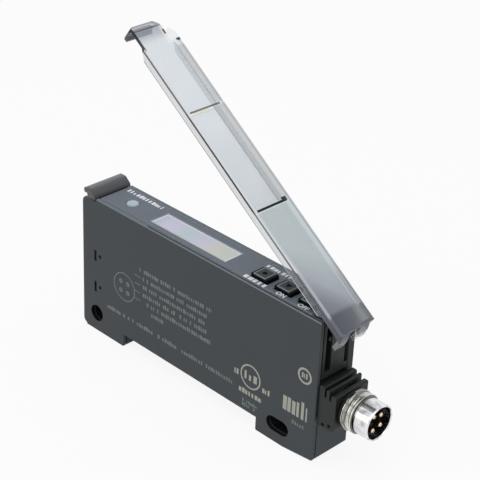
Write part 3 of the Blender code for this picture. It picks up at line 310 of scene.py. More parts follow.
def makeInkRingGroup():
    # A printed ring, as a mask.
    group, given, result = newGroup(
        "inkRing", {"across": 0.0, "up": 0.0, "middleAcross": 0.0, "middleUp": 0.0, "radius": 2.0, "line": 0.3},
        {"mask": "NodeSocketFloat"})
    away = fromAxis(group, minus(group, given["across"], given["middleAcross"]),
                    minus(group, given["up"], given["middleUp"]))
    mask = around(group, away, given["radius"], times(group, given["line"], 0.5))
    group.links.new(mask, result["mask"])
    return group


mouldedSurface = makeMouldedGroup()
inkBars = makeInkBarsGroup()
inkRing = makeInkRingGroup()
print("effect groups built")


# Finishes

def newFinish(name):
    finish = bpy.data.materials.new(name)
    finish.use_nodes = True
    return finish, finish.node_tree, finish.node_tree.nodes["Principled BSDF"]


def mouldedFinish(look):
    # Moulded plastic or rubber from a dictionary of its settings.
    finish, tree, shader = newFinish(look["name"])
    labels = ("colour", "drift", "grainSize", "grainDepth", "edgeRadius", "edgeLight", "roughness")
    values = {label: look[label] for label in labels}
    surface = addNode(tree, "ShaderNodeGroup", values, node_tree=mouldedSurface).outputs
    feedAll(tree, shader, {"Base Color": surface["colour"], "Roughness": surface["roughness"],
                           "Normal": surface["normal"], "Specular IOR Level": look["gloss"]})
    return finish, tree, shader, surface["colour"]


def inkRow(tree, across, up, row, blankShare):
    # A row is its start, end, base, height, pitch and seed.
    values = dict(zip(("start", "end", "base", "height", "pitch", "seed"), row))
    values.update(across=across, up=up, blankShare=blankShare)
    return addNode(tree, "ShaderNodeGroup", values, node_tree=inkBars).outputs[0]


def inkCircle(tree, across, up, circle):
    # A circle is its middle, radius and line.
    values = dict(zip(("middleAcross", "middleUp", "radius", "line"), circle), across=across, up=up)
    return addNode(tree, "ShaderNodeGroup", values, node_tree=inkRing).outputs[0]


def dress(names, finish):
    for name in names:
        piece = parts[name]
        piece.data.materials.clear()
        piece.data.materials.append(finish)


caseLook = {"name": "slateCase", "colour": linear(58, 64, 68), "drift": 0.05, "grainSize": 0.16, "grainDepth": 0.35,
            "edgeRadius": 0.2, "edgeLight": 0.75, "roughness": 0.56, "gloss": 0.3,
            # rim is pale as painted light on top faces, and seam is light painted into the shaded gap inside the far
            # rim
            "rim": linear(100, 109, 117), "seam": linear(176, 186, 196), "rimStart": 3.4, "rimBottom": 27.0,
            "rimLine": linear(38, 41, 46), "rimLineSpan": (-4.62, -4.25), "rimLineStart": -12.5,
            # lip is a painted highlight along the top of the side face
            "lip": linear(122, 130, 138), "lipBottom": 27.9, "flat": 0.8, "seamTilt": 0.4, "wallTilt": 0.5,
            # bore and endShade are painted shade, in the fixing holes and on the upper end
            "bore": linear(3, 4, 4), "bores": ((24.8, 1.0, 2.95, 1.7), (-27.6, 1.26, 1.95, 1.95)),
            "endShade": linear(34, 38, 40), "endStart": 33.2, "endBottom": 15.2, "endTilt": 0.3}


def boreMask(tree, across, up):
    # The walls of the two fixing holes, which lie in deep shade.
    walls = under(tree, mathNode(tree, "ABSOLUTE", facing(tree, "Y")), caseLook["wallTilt"])
    spots = [times(tree, around(tree, across, middle, halfWidth), around(tree, up, level, halfHeight))
             for middle, level, halfWidth, halfHeight in caseLook["bores"]]
    return allOf(tree, anyOf(tree, *spots), walls)


def makeCaseFinish():
    # Painted light: the far rim is as pale as the panel as light on its top, and paler light fills the gap inside it.
    # Painted shade: the fixing holes are near black, and the upper end is darker than the sides.
    look = caseLook
    finish, tree, shader, colour = mouldedFinish(look)
    across, depth, up = partCoordinates(tree)
    rim = allOf(tree, beyond(tree, depth, look["rimStart"]), beyond(tree, up, look["rimBottom"]),
                under(tree, facing(tree, "Y"), look["flat"]))
    end = allOf(tree, beyond(tree, across, look["endStart"]), beyond(tree, up, look["endBottom"]),
                beyond(tree, facing(tree, "X"), look["endTilt"]))
    seam = allOf(tree, rim, under(tree, facing(tree, "Z"), look["seamTilt"]))
    colour = paintOver(tree, colour, (rim, look["rim"]), (seam, look["seam"]),
                       (boreMask(tree, across, up), look["bore"]), (end, look["endShade"]))
    feed(tree, shader.inputs["Base Color"], colour)
    return finish


sidePrint = {
    "dullInk": linear(122, 128, 128), "brightInk": linear(180, 181, 168), "dark": linear(10, 12, 13),
    # start, end, base, height, pitch and seed of each row of bars
    "dull": ((-14.4, 6.2, 17.2, 1.0, 0.62, 3.0), (-13.4, 5.0, 15.4, 1.0, 0.58, 17.0),
             (-13.4, 4.4, 13.6, 1.0, 0.62, 31.0), (-13.4, 5.0, 11.8, 1.0, 0.6, 47.0),
             (-13.4, 6.4, 10.0, 1.0, 0.62, 63.0), (-11.4, -7.2, 8.2, 0.9, 0.6, 71.0),
             (-24.2, 12.5, 4.2, 1.0, 0.7, 91.0), (15.4, 19.4, 0.95, 0.75, 0.5, 107.0),
             (15.4, 19.4, 1.85, 0.75, 0.55, 113.0), (28.4, 32.2, 3.7, 0.9, 0.65, 127.0)),
    "bright": ((15.7, 19.2, 7.3, 2.0, 1.2, 3.0), (14.4, 20.4, 3.8, 1.15, 0.85, 5.0),
               (25.9, 32.0, 5.7, 4.2, 1.15, 21.0), (13.0, 14.2, 7.2, 1.4, 0.6, 9.0),
               (20.5, 22.6, 6.4, 1.3, 0.7, 11.0), (30.1, 31.6, 14.9, 1.2, 0.5, 13.0)),
    "dullBlank": 0.14, "rings": ((17.3, 8.2, 2.5, 0.34), (30.8, 15.4, 1.5, 0.42)),
    "pinRing": (-19.0, 11.5, 3.1, 0.22), "pinReach": 1.5, "pinDot": (0.35, 0.3),
    "leads": (10.5, 12.3, 14.1, 15.9), "leadSpan": (-15.9, -14.1), "leadHalf": 0.09,
    # the two fibre marks: middle, half width, half length, dot's middle, rise and radius, then their heights
    "port": (-28.0, 0.4, 1.3, -26.55, 0.25, 0.45), "portLevels": (7.6, 14.95),
    "face": -4.7, "wornScale": 30000.0, "wornStart": 0.45, "wornGain": 0.7,
}


def makeSideFinish():
    # The side plate's print, its top painted pale as light with a painted highlight along its top edge, and the dark
    # marks of the fibre ports.
    look = sidePrint
    finish, tree, shader, colour = mouldedFinish(dict(caseLook, name="slatePlate"))
    across, depth, up = partCoordinates(tree)
    dull, bright = ([inkRow(tree, across, up, row, blank) for row in rows]
                    for rows, blank in ((look["dull"], look["dullBlank"]), (look["bright"], 0.0)))
    circles = [look["pinRing"]]
    for turn in range(4):
        angle = math.radians(45 + 90 * turn)
        circles.append((look["pinRing"][0] + look["pinReach"] * math.cos(angle),
                        look["pinRing"][1] + look["pinReach"] * math.sin(angle), *look["pinDot"]))
    dull += [inkCircle(tree, across, up, circle) for circle in circles]
    bright += [inkCircle(tree, across, up, circle) for circle in look["rings"]]
    for level in look["leads"]:
        dull.append(allOf(tree, between(tree, across, *look["leadSpan"]), around(tree, up, level, look["leadHalf"])))
    onFace = under(tree, depth, look["face"])
    worn = times(tree, noiseNode(tree, look["wornScale"], objectPlace(tree)), look["wornGain"])
    thin = plus(tree, look["wornStart"], worn, clamp=True)
    dull, bright = (allOf(tree, anyOf(tree, *masks), onFace, thin) for masks in (dull, bright))
    middle, halfWidth, halfLength, dotMiddle, rise, radius = look["port"]
    ports = []
    for level in look["portLevels"]:
        ports.append(allOf(tree, around(tree, across, middle, halfWidth), around(tree, up, level, halfLength)))
        ports.append(inkCircle(tree, across, up, (dotMiddle, level + rise, radius / 2, radius)))
    # painted light: the pale top face, and a painted highlight along the top of the side face
    onTop = allOf(tree, beyond(tree, up, caseLook["rimBottom"]), beyond(tree, facing(tree, "Z"), caseLook["flat"]))
    lip = allOf(tree, onFace, beyond(tree, up, caseLook["lipBottom"]))
    seam = allOf(tree, between(tree, depth, *caseLook["rimLineSpan"]), onTop,
                 beyond(tree, across, caseLook["rimLineStart"]))
    colour = paintOver(tree, colour, (dull, look["dullInk"]), (bright, look["brightInk"]),
                       (anyOf(tree, *ports), look["dark"]), (onTop, caseLook["rim"]), (lip, caseLook["lip"]),
                       (seam, caseLook["rimLine"]), (boreMask(tree, across, up), caseLook["bore"]))
    feed(tree, shader.inputs["Base Color"], colour)
    return finish


panelLook = {"name": "panelPrint", "colour": linear(99, 108, 118), "drift": 0.05, "grainSize": 0.1, "grainDepth": 0.15,
             # the walls' pale colour is light painted into the shaded gaps round the panel
             "edgeRadius": 0.1, "edgeLight": 0.5, "roughness": 0.5, "gloss": 0.35, "wall": linear(170, 180, 190),
             "wallTilt": 0.4, "windowFrame": linear(190, 198, 210), "frameWidth": 0.2, "top": 28.1,
             "ink": linear(236, 241, 248), "inkShare": 0.95,
             "rows": ((13.0, 18.8, -3.75, 1.25, 1.2, 5.0), (13.4, 19.4, 2.0, 1.1, 0.95, 9.0),
                      (-26.3, -16.1, 2.2, 1.15, 0.9, 2.0))}


def makePanelFinish():
    # The panel's print, its walls painted pale as light in the shaded gaps round it, and the pale frame round its
    # window.
    look = panelLook
    finish, tree, shader, colour = mouldedFinish(look)
    across, depth, up = partCoordinates(tree)
    onTop = beyond(tree, up, look["top"])
    low, high = inMillimetres(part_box("display_window"))
    width = look["frameWidth"]
    border = allOf(tree, between(tree, across, low[0] - width, high[0] + width),
                   between(tree, depth, low[1] - width, high[1] + width), onTop)
    rows = anyOf(tree, *(inkRow(tree, across, depth, row, 0.0) for row in look["rows"]))
    colour = paintOver(tree, colour, (border, look["windowFrame"]),
                       (under(tree, facing(tree, "Z"), look["wallTilt"]), look["wall"]),
                       (allOf(tree, rows, onTop, look["inkShare"]), look["ink"]))
    feed(tree, shader.inputs["Base Color"], colour)
    return finish


plasticLooks = {
    "ends": {"name": "endPlastic", "colour": linear(29, 34, 33), "drift": 0.12, "grainSize": 0.14, "grainDepth": 0.3,
             "edgeRadius": 0.12, "edgeLight": 0.5, "roughness": 0.5, "gloss": 0.3},
    "hook": {"name": "hookPlastic", "colour": linear(40, 42, 44), "drift": 0.05, "grainSize": 0.15, "grainDepth": 0.2,
             "edgeRadius": 0.12, "edgeLight": 0.4, "roughness": 0.45, "gloss": 0.4},
    "optics": {"name": "opticsPlastic", "colour": linear(26, 26, 28), "drift": 0.05, "grainSize": 0.15,
               "grainDepth": 0.3, "edgeRadius": 0.1, "edgeLight": 0.2, "roughness": 0.6, "gloss": 0.3},
    "seal": {"name": "sealRubber", "colour": linear(28, 28, 29), "drift": 0.08, "grainSize": 0.08, "grainDepth": 0.4,
             "edgeRadius": 0.1, "edgeLight": 0.2, "roughness": 0.65, "gloss": 0.3},
    "insert": {"name": "insertPlastic", "colour": linear(24, 17, 14), "drift": 0.1, "grainSize": 0.1,
               "grainDepth": 0.2, "edgeRadius": 0.08, "edgeLight": 0.3, "roughness": 0.45, "gloss": 0.4},
    "chips": {"name": "chipResin", "colour": linear(30, 30, 32), "drift": 0.06, "grainSize": 0.06, "grainDepth": 0.3,
              "edgeRadius": 0.06, "edgeLight": 0.2, "roughness": 0.6, "gloss": 0.3},
    "board": {"name": "boardLaminate", "colour": linear(24, 84, 48), "drift": 0.1, "grainSize": 0.3,
              "grainDepth": 0.1, "edgeRadius": 0.05, "edgeLight": 0.3, "roughness": 0.4, "gloss": 0.5},
    "emitter": {"name": "emitterResin", "colour": linear(150, 40, 34), "drift": 0.05, "grainSize": 0.2,
                "grainDepth": 0.02, "edgeRadius": 0.1, "edgeLight": 0.3, "roughness": 0.15, "gloss": 0.5},
    "diode": {"name": "diodeResin", "colour": linear(30, 28, 34), "drift": 0.05, "grainSize": 0.2,
              "grainDepth": 0.02, "edgeRadius": 0.1, "edgeLight": 0.3, "roughness": 0.15, "gloss": 0.5},
    "pale": {"name": "paleResin", "colour": linear(206, 208, 196), "drift": 0.05, "grainSize": 0.2,
             "grainDepth": 0.05, "edgeRadius": 0.08, "edgeLight": 0.1, "roughness": 0.35, "gloss": 0.5},
}

leverLook = {"name": "leverPlastic", "colour": linear(74, 78, 82), "drift": 0.06, "grainSize": 0.12, "grainDepth": 0.15,
             "edgeRadius": 1.5, "edgeLight": 0.0, "roughness": 0.42, "gloss": 0.4,
             # the grip's tones are a painted highlight falling off into painted shade, and low is painted shade
             "tonesWithPaintedLight": ((-32.0, (92, 95, 98)), (-31.1, (122, 127, 131)), (-30.2, (104, 108, 112)),
                       (-29.2, (80, 83, 86)), (-27.8, (62, 64, 67))),
             "low": linear(54, 56, 59), "gripBottom": 27.0, "end": linear(88, 84, 79), "endTilt": -0.6}


def makeLeverFinish():
    # The rounded grip has a painted highlight on top that falls off into painted shade towards the panel, and below the
    # grip the lever is painted darker as shade; its near end is a warmer grey.
    look = leverLook
    finish, tree, shader, colour = mouldedFinish(look)
    across, _, up = partCoordinates(tree)
    grip = minus(tree, up, look["gripBottom"], clamp=True)
    end = allOf(tree, under(tree, facing(tree, "Y"), look["endTilt"]), grip)
    colour = paintOver(tree, look["low"], (grip, rampNode(tree, across, look["tonesWithPaintedLight"])), (end, look["end"]))
    feed(tree, shader.inputs["Base Color"], colour)
    return finish


keyLook = {"name": "keyPlastic", "colour": linear(54, 58, 62), "drift": 0.04, "grainSize": 0.1, "grainDepth": 0.15,
           "edgeRadius": 0.1, "edgeLight": 0.1, "roughness": 0.5, "gloss": 0.1,
           # line is a painted highlight round the key's top
           "side": linear(6, 7, 9), "rim": linear(20, 23, 27), "line": linear(124, 130, 134), "top": linear(62, 67, 72),
           "rimWidth": 0.5, "lineWidth": 0.3, "topDepth": 0.16}


def makeKeyFinish(name):
    # A key has near-black sides, a dark rim and a paler line round its grey top; the paler line is a painted highlight
    # along the top's edge.
    look = keyLook
    finish, tree, shader, colour = mouldedFinish(dict(look, name=look["name"] + "_" + name))
    low, high = inMillimetres(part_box(name))
    across, depth, up = partCoordinates(tree)
    insets = [minus(tree, (end - start) / 2, distance(tree, value, (start + end) / 2))
              for value, start, end in ((across, low[0], high[0]), (depth, low[1], high[1]))]
    inset = mathNode(tree, "MINIMUM", *insets)
    colour = paintOver(tree, look["rim"], (beyond(tree, inset, look["rimWidth"]), look["line"]),
                       (beyond(tree, inset, look["rimWidth"] + look["lineWidth"]), look["top"]))
    onTop = beyond(tree, up, high[2] - look["topDepth"])
    feed(tree, shader.inputs["Base Color"], mixColours(tree, onTop, look["side"], colour))
    return finish


plugLook = {"name": "plugNickel", "roughness": 0.17, "edge": 0.08,
            # the tones carry a painted highlight at the flange edge; furrow and groove shades are painted shade, and
            # patch and lilac are painted reflections
            "tonesWithPaintedLight": ((38.3, (190, 192, 186)), (39.0, (226, 228, 220)), (39.4, (242, 243, 238)),
                      (39.5, (212, 214, 204)), (41.65, (218, 219, 210)), (41.75, (150, 152, 142)),
                      (42.05, (160, 162, 154)), (42.15, (222, 224, 222)), (45.2, (236, 236, 238))),
            "thread": (39.5, 41.7), "pitch": 0.5, "furrow": 0.85, "furrowShade": linear(70, 71, 62),
            "groove": (41.66, 42.1), "grooveTop": -1.2, "grooveGain": 0.6, "grooveShade": linear(30, 32, 28),
            "patchReflection": linear(112, 112, 122), "patchSize": (2.2, 2.2, 0.35), "patchScale": 1.1, "darkGain": 3.2,
            "lilacReflection": linear(196, 188, 206), "lilacStart": 42.1, "lilacLevel": 0.45, "lilacGain": 3.0}


def axisOffsets(tree, low, high, depth, up):
    # Offsets from the X axis through the middle of a box.
    return minus(tree, depth, (low[1] + high[1]) / 2), minus(tree, up, (low[2] + high[2]) / 2)


def makePlugFinish():
    # Bright nickel with painted shade in the thread's furrows and the groove, a painted highlight at the flange edge,
    # and soft patches of painted reflection that run along the turned barrel.
    look = plugLook
    finish, tree, shader = newFinish(look["name"])
    low, high = inMillimetres(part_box("connector_shell"))
    across, depth, up = partCoordinates(tree)
    wave = mathNode(tree, "SINE", times(tree, across, 2 * math.pi / look["pitch"]))
    furrow = allOf(tree, between(tree, across, *look["thread"]), beyond(tree, wave, 0.0), look["furrow"])
    side, rise = axisOffsets(tree, low, high, depth, up)
    turn = mathNode(tree, "ARCTAN2", rise, side)
    lower = times(tree, minus(tree, look["grooveTop"], plus(tree, side, rise)), look["grooveGain"], clamp=True)
    groove = allOf(tree, between(tree, across, *look["groove"]), lower)
    spot = addNode(tree, "ShaderNodeCombineXYZ")
    for socket, value, size in zip(spot.inputs, (mathNode(tree, "COSINE", turn), mathNode(tree, "SINE", turn), across),
                                   look["patchSize"]):
        feed(tree, socket, times(tree, value, size))
    reflectionPatches = noiseNode(tree, look["patchScale"], spot.outputs[0])
    dark = times(tree, minus(tree, reflectionPatches, 0.5), look["darkGain"], clamp=True)
    pale = times(tree, minus(tree, look["lilacLevel"], reflectionPatches), look["lilacGain"], clamp=True)
    tone = paintOver(tree, rampNode(tree, across, look["tonesWithPaintedLight"]), (furrow, look["furrowShade"]),
                     (groove, look["grooveShade"]), (dark, look["patchReflection"]),
                     (allOf(tree, pale, beyond(tree, across, look["lilacStart"])), look["lilacReflection"]))
    feedAll(tree, shader, {"Base Color": tone, "Normal": roundedNormal(tree, look["edge"] * mm), "Metallic": 1.0,
                           "Roughness": look["roughness"]})
    return finish


pinLook = {"name": "pinGold", "roughness": 0.25,
           # the bright ring is a painted highlight on the tip
           "rings": ((0.0, (120, 104, 76)), (0.16, (132, 116, 86)), (0.2, (244, 236, 214)), (0.36, (244, 232, 200)),
                     (0.42, (110, 86, 52)), (0.8, (96, 74, 46)))}


def makePinFinish(name):
    # A contact's tip has a painted highlight in a ring, and its flank is duller.
    finish, tree, shader = newFinish(pinLook["name"] + "_" + name)
    low, high = inMillimetres(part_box(name))
    depth, up = partCoordinates(tree)[1:]
    away = fromAxis(tree, *axisOffsets(tree, low, high, depth, up))
    feedAll(tree, shader, {"Base Color": rampNode(tree, away, pinLook["rings"]), "Metallic": 1.0,
                           "Roughness": pinLook["roughness"]})
    return finish


metalLooks = {
    "steel": {"name": "pinSteel", "colour": linear(196, 196, 194), "roughness": 0.3, "line": 0.3},
    "tin": {"name": "tinPlate", "colour": linear(205, 205, 200), "roughness": 0.34, "line": 0.2},
    "bronze": {"name": "clampBronze", "colour": linear(196, 158, 104), "roughness": 0.35, "line": 0.3},
}
metalDetail = {"lineScale": 14.0, "lineDetail": 3.0, "cloudScale": 500.0, "cloudGain": 0.16, "shade": (0.88, 0.2),
               "edge": 0.08, "bumpHeight": 0.01}


def metalFinish(look):
    # Turned or stamped metal: faint lines round the X axis, uneven shine and softened edges.
    finish, tree, shader = newFinish(look["name"])
    detail = metalDetail
    values = {"Scale": detail["lineScale"], "Detail": detail["lineDetail"], "W": partCoordinates(tree)[0]}
    lines = addNode(tree, "ShaderNodeTexNoise", values, noise_dimensions="1D").outputs[0]
    cloud = noiseNode(tree, detail["cloudScale"], objectPlace(tree))
    rough = spread(tree, cloud, look["roughness"] - detail["cloudGain"] / 2, detail["cloudGain"])
    normal = bumpNode(tree, lines, roundedNormal(tree, detail["edge"] * mm), detail["bumpHeight"] * mm, look["line"])
    feedAll(tree, shader, {"Base Color": shaded(tree, look["colour"], spread(tree, lines, *detail["shade"])),
                           "Roughness": rough, "Normal": normal, "Metallic": 1.0})
    return finish


# Places are in the closed cover's own millimetres; a painted feature is its shade, haze and share.
coverLook = {
    "name": "coverPlastic", "roughness": 0.16, "gloss": 0.25,
    # the tints are the smoky tone, painted darker towards the hinge as the shadow seen through the cover
    "tintsAndShadow": ((-65.0, (150, 152, 156)), (-63.3, (172, 176, 190)), (-60.0, (190, 205, 217)), (-45.0, (190, 206, 218)),
              (-23.4, (179, 192, 202)), (-22.3, (199, 211, 214)), (-12.0, (198, 209, 213)), (-4.0, (174, 183, 190)),
              (-1.8, (160, 166, 176)), (0.4, (144, 149, 158)), (3.6, (130, 135, 144))),
    "haze": ((-65.0, 0.66), (-62.2, 0.5), (-61.0, 0.28), (-45.0, 0.3), (-23.2, 0.4), (-22.2, 0.78), (4.5, 0.88)),
    "slant": 0.9, "slantFrom": 20.0, "slantOver": 8.0,
    "heelFade": ((-0.3, 0.0), (0.6, 1.0)),
    # across the heel the tints carry a painted light spot towards the far side
    "heelTintsAndLight": ((-4.0, (92, 96, 106)), (-1.0, (102, 107, 116)), (1.0, (114, 119, 125)),
                  (2.4, (150, 155, 160)), (3.0, (142, 146, 150)), (3.6, (122, 125, 130))),
    "heelEnd": (3.7, 0.9), "heelEndTint": linear(104, 108, 114), "farEdge": 3.0, "farEdgeTint": linear(134, 136, 142),
    "farEdgeFade": ((-9.0, 0.0), (-5.0, 0.65), (-0.3, 0.7), (0.6, 0.0)),
    "plateTop": 4.8, "plateBottom": 4.0, "heel": 0.4, "skirtOuter": 4.2, "skirtTop": 4.55, "skirtInner": 3.45,
    "skirt": (linear(174, 180, 186), 0.24), "underPlate": (None, 0.06),
    # a painted highlight runs along the near edge
    "nearEdge": -3.92, "nearEdgeBottom": 4.45, "nearEdgeHighlight": linear(206, 211, 220),
    "nearHighlightFade": ((-14.0, 0.0), (-12.0, 0.75), (0.2, 0.7), (1.0, 0.12)),
    # painted shade along the crease where the near skirt meets the plate
    "creaseShades": ((-65.0, (98, 101, 106)), (-45.5, (90, 94, 98)), (-43.6, (44, 49, 52)), (-23.4, (4, 6, 9)),
                (-22.2, (122, 130, 133)), (-8.0, (92, 96, 104)), (4.5, (84, 88, 96))),
    "creaseSpan": (3.78, 4.26), "creaseHaze": 0.95,
    # the near skirt's lower band: a grey line, painted lighter towards the heel as a highlight
    "feet": ((-60.0, (142, 146, 150)), (-22.0, (142, 146, 150)), (-12.0, (176, 180, 188)), (-6.0, (216, 220, 230)),
             (4.5, (210, 214, 224))), "footTop": 2.62, "footHaze": 0.9,
    "farSpan": (3.72, 4.06), "farBand": (linear(186, 190, 193), 0.64),
    "sills": ((-44.5, -23.0, 1.42, 1.68), (-58.5, -45.1, 2.4, 2.62)), "sill": (linear(120, 126, 132), 0.75, 0.6),
    # the ribs and knob are painted dark as the shade seen through the clear plate; the glint is a painted highlight
    "ribs": ((-22.65, 0.24, linear(8, 10, 12), 1.0), (-44.8, 0.2, linear(80, 83, 68), 0.85)), "ribSpan": (-4.2, 3.3),
    "knobAt": (-22.95, 0.42, 2.3), "knob": (linear(8, 10, 12), 0.95),
    "glintSpan": (-44.62, -44.4), "glintReach": (-3.4, 0.4), "glint": (linear(236, 206, 120), 0.8, 0.8),
    "tabEnd": -59.8, "tabReach": 2.05, "besideTab": (linear(196, 208, 218), 0.14),
    # painted shade in the tab's fold line, on its near flank and in its slits
    "tabLine": (-63.8, -63.48), "tabFoldShade": (linear(92, 94, 104), 0.85),
    "flankTilt": -0.6, "flankTop": 4.95, "flank": (linear(22, 24, 28), 0.95),
    "hookTop": 3.55, "hook": (linear(84, 88, 96), 0.8),
    "slits": (((-62.6, -61.5), (1.72, 2.18)), ((-60.0, -59.5), (3.35, 4.35))), "slitBottom": 4.2,
    "slit": (linear(22, 24, 28), 0.9),
    # the streaks in the hinge lobes are painted reflections of the bright room
    "lobeTop": 2.3, "lobeStart": -12.0, "lobe": linear(112, 120, 120), "streak": linear(236, 238, 240),
    "streakStretch": (0.5, 0.35, 2.6), "streakTurn": (0.5, 0.7, 0), "lightStreakScale": 1.2, "lightStreakDetail": 4.0,
    "lightStreakLevel": 0.44, "lightStreakGain": 9.0, "nearLobe": 0.3, "farLobe": 0.7, "lobeHaze": 0.56, "streakHaze": 0.15,
    "cloudScale": 0.16, "cloudHaze": 0.12, "cloudRough": 0.1,
}


def makeCoverFinish():
    # Smoky clear plastic, hazier towards the hinge and painted darker towards it as the shadow seen through it, with
    # painted shade along its moulded creases, ribs and tab, and painted highlights and reflections on its edges and
    # lobes.
    look = coverLook
    finish, tree, shader = newFinish(look["name"])
    hinge = next(joint for joint in frame["joints"] if joint["name"] == "cover_hinge")
    turn = -math.radians(hinge["range_deg"][0])
    closed = addNode(tree, "ShaderNodeMapping",
                     {"Vector": objectPlace(tree), "Location": hinge["pos_m"], "Rotation": (0, turn, 0),
                      "Scale": (mm, mm, mm)}, vector_type="TEXTURE").outputs[0]
    along, side, height = splitNode(tree, closed)
    lean = mathNode(tree, "DIVIDE", plus(tree, along, look["slantFrom"]), look["slantOver"], clamp=True)
    lean = allOf(tree, side, look["slant"], lean)
    colour = rampNode(tree, minus(tree, along, lean), look["tintsAndShadow"])
    haze = rampNode(tree, along, look["haze"])

    def paint(mask, shade, strength=None, share=1.0):
        # Lays one shade, and where given one haze, over the colour so far.
        nonlocal colour, haze
        if share != 1.0:
            mask = times(tree, mask, share)
        if shade is not None:
            colour = mixColours(tree, mask, colour, shade)
        if strength is not None:
            haze = mixColours(tree, mask, haze, (strength, strength, strength, 1))

    # the heel's tints, with a painted light spot towards the far side
    paint(rampNode(tree, along, look["heelFade"]), rampNode(tree, side, look["heelTintsAndLight"]))
    start, inner = look["heelEnd"]
    paint(allOf(tree, beyond(tree, along, start), beyond(tree, side, inner)), look["heelEndTint"])
    farEdge = allOf(tree, beyond(tree, side, look["farEdge"]), rampNode(tree, along, look["farEdgeFade"]))
    paint(farEdge, look["farEdgeTint"])
    out = mathNode(tree, "ABSOLUTE", side)
    outer = beyond(tree, out, look["skirtOuter"])
    near = under(tree, side, 0.0)
    far = beyond(tree, side, 0.0)
    onPlate = beyond(tree, height, look["plateTop"])
    below = under(tree, height, look["plateBottom"])
    inFront = under(tree, along, look["heel"])
    inside = under(tree, out, look["skirtInner"])
    onSkirt = allOf(tree, outer, under(tree, height, look["skirtTop"]))
    paint(allOf(tree, anyOf(tree, below, onSkirt), inFront), *look["skirt"])
    paint(allOf(tree, below, inside, inFront), *look["underPlate"])
    # a painted highlight along the near edge
    paint(allOf(tree, under(tree, side, look["nearEdge"]), beyond(tree, height, look["nearEdgeBottom"]),
                rampNode(tree, along, look["nearHighlightFade"])), look["nearEdgeHighlight"])
    # painted shade along the crease where the near skirt meets the plate
    creaseShadeMask = allOf(tree, between(tree, height, *look["creaseSpan"]), outer, near)
    paint(creaseShadeMask, rampNode(tree, along, look["creaseShades"]), look["creaseHaze"])
    # the near skirt's lower band: a grey line, painted lighter towards the heel as a highlight
    foot = allOf(tree, under(tree, height, look["footTop"]), outer, inFront, near)
    paint(foot, rampNode(tree, along, look["feet"]), look["footHaze"])
    sills = [allOf(tree, between(tree, side, *look["farSpan"]), onPlate)]
    bands = []
    for start, end, low, high in look["sills"]:
        within = allOf(tree, between(tree, along, start, end), onPlate)
        bands.append(allOf(tree, within, beyond(tree, side, high)))
        sills.append(allOf(tree, within, between(tree, side, low, high)))
    paint(anyOf(tree, *bands), *look["farBand"])
    paint(anyOf(tree, *sills), *look["sill"])
    # ribs and knob painted dark as shade, then a painted highlight along the second rib
    for middle, half, shade, strength in look["ribs"]:
        paint(allOf(tree, around(tree, along, middle, half), between(tree, side, *look["ribSpan"]), onPlate),
              shade, strength)
    middle, half, start = look["knobAt"]
    paint(allOf(tree, around(tree, along, middle, half), inside, onPlate, beyond(tree, side, start)), *look["knob"])
    paint(allOf(tree, between(tree, along, *look["glintSpan"]), between(tree, side, *look["glintReach"]), onPlate),
          *look["glint"])

    # the tab at the tip, with painted shade in its folded line, on its near side and in its slits, and its hook
    tip = under(tree, along, look["tabEnd"])
    onTab = under(tree, side, look["tabReach"])
    paint(allOf(tree, tip, beyond(tree, side, look["tabReach"])), *look["besideTab"])
    paint(allOf(tree, between(tree, along, *look["tabLine"]), onTab, onPlate), *look["tabFoldShade"])
    flank = allOf(tree, under(tree, facing(tree, "Y"), look["flankTilt"]), under(tree, height, look["flankTop"]))
    paint(allOf(tree, tip, flank, near), *look["flank"])
    paint(allOf(tree, tip, under(tree, height, look["hookTop"]), onTab), *look["hook"])
    for span, width in look["slits"]:
        paint(allOf(tree, between(tree, along, *span), between(tree, side, *width),
                    beyond(tree, height, look["slitBottom"])), *look["slit"])

    # painted reflections: bright streaks in the two hinge lobes
    streakPlace = addNode(tree, "ShaderNodeMapping",
                    {"Vector": closed, "Scale": look["streakStretch"], "Rotation": look["streakTurn"]}).outputs[0]
    lightStreaks = noiseNode(tree, look["lightStreakScale"], streakPlace, look["lightStreakDetail"])
    bright = times(tree, minus(tree, lightStreaks, look["lightStreakLevel"]), look["lightStreakGain"], clamp=True)
    lobe = allOf(tree, under(tree, height, look["lobeTop"]), beyond(tree, along, look["lobeStart"]))
    streaks = times(tree, bright, spread(tree, far, look["nearLobe"], look["farLobe"]))
    paint(lobe, mixColours(tree, streaks, look["lobe"], look["streak"]), look["lobeHaze"])
    paint(allOf(tree, lobe, bright, far), None, look["streakHaze"])

    cloud = noiseNode(tree, look["cloudScale"], closed)
    uneven = times(tree, minus(tree, cloud, 0.5), look["cloudHaze"])
    feedAll(tree, shader, {"Base Color": colour, "Alpha": plus(tree, haze, uneven, clamp=True),
                           "Roughness": spread(tree, cloud, look["roughness"], look["cloudRough"]),
                           "Specular IOR Level": look["gloss"]})
    return finish


windowLook = {"name": "displayWindow", "roughness": 0.18, "border": linear(222, 226, 232), "borderWidth": 0.35,
              # the bands are a painted reflection of the pale room on the dark display
              "bands": ((0.0, (176, 190, 208)), (0.05, (186, 196, 214)), (0.12, (200, 202, 222)),
                        (0.26, (206, 200, 222)), (0.38, (188, 206, 208)), (0.46, (192, 204, 214)),
                        (0.6, (204, 202, 224)), (0.74, (208, 208, 204)), (1.0, (202, 210, 200))),
              "waveScale": 40000.0, "waveReach": 0.2}


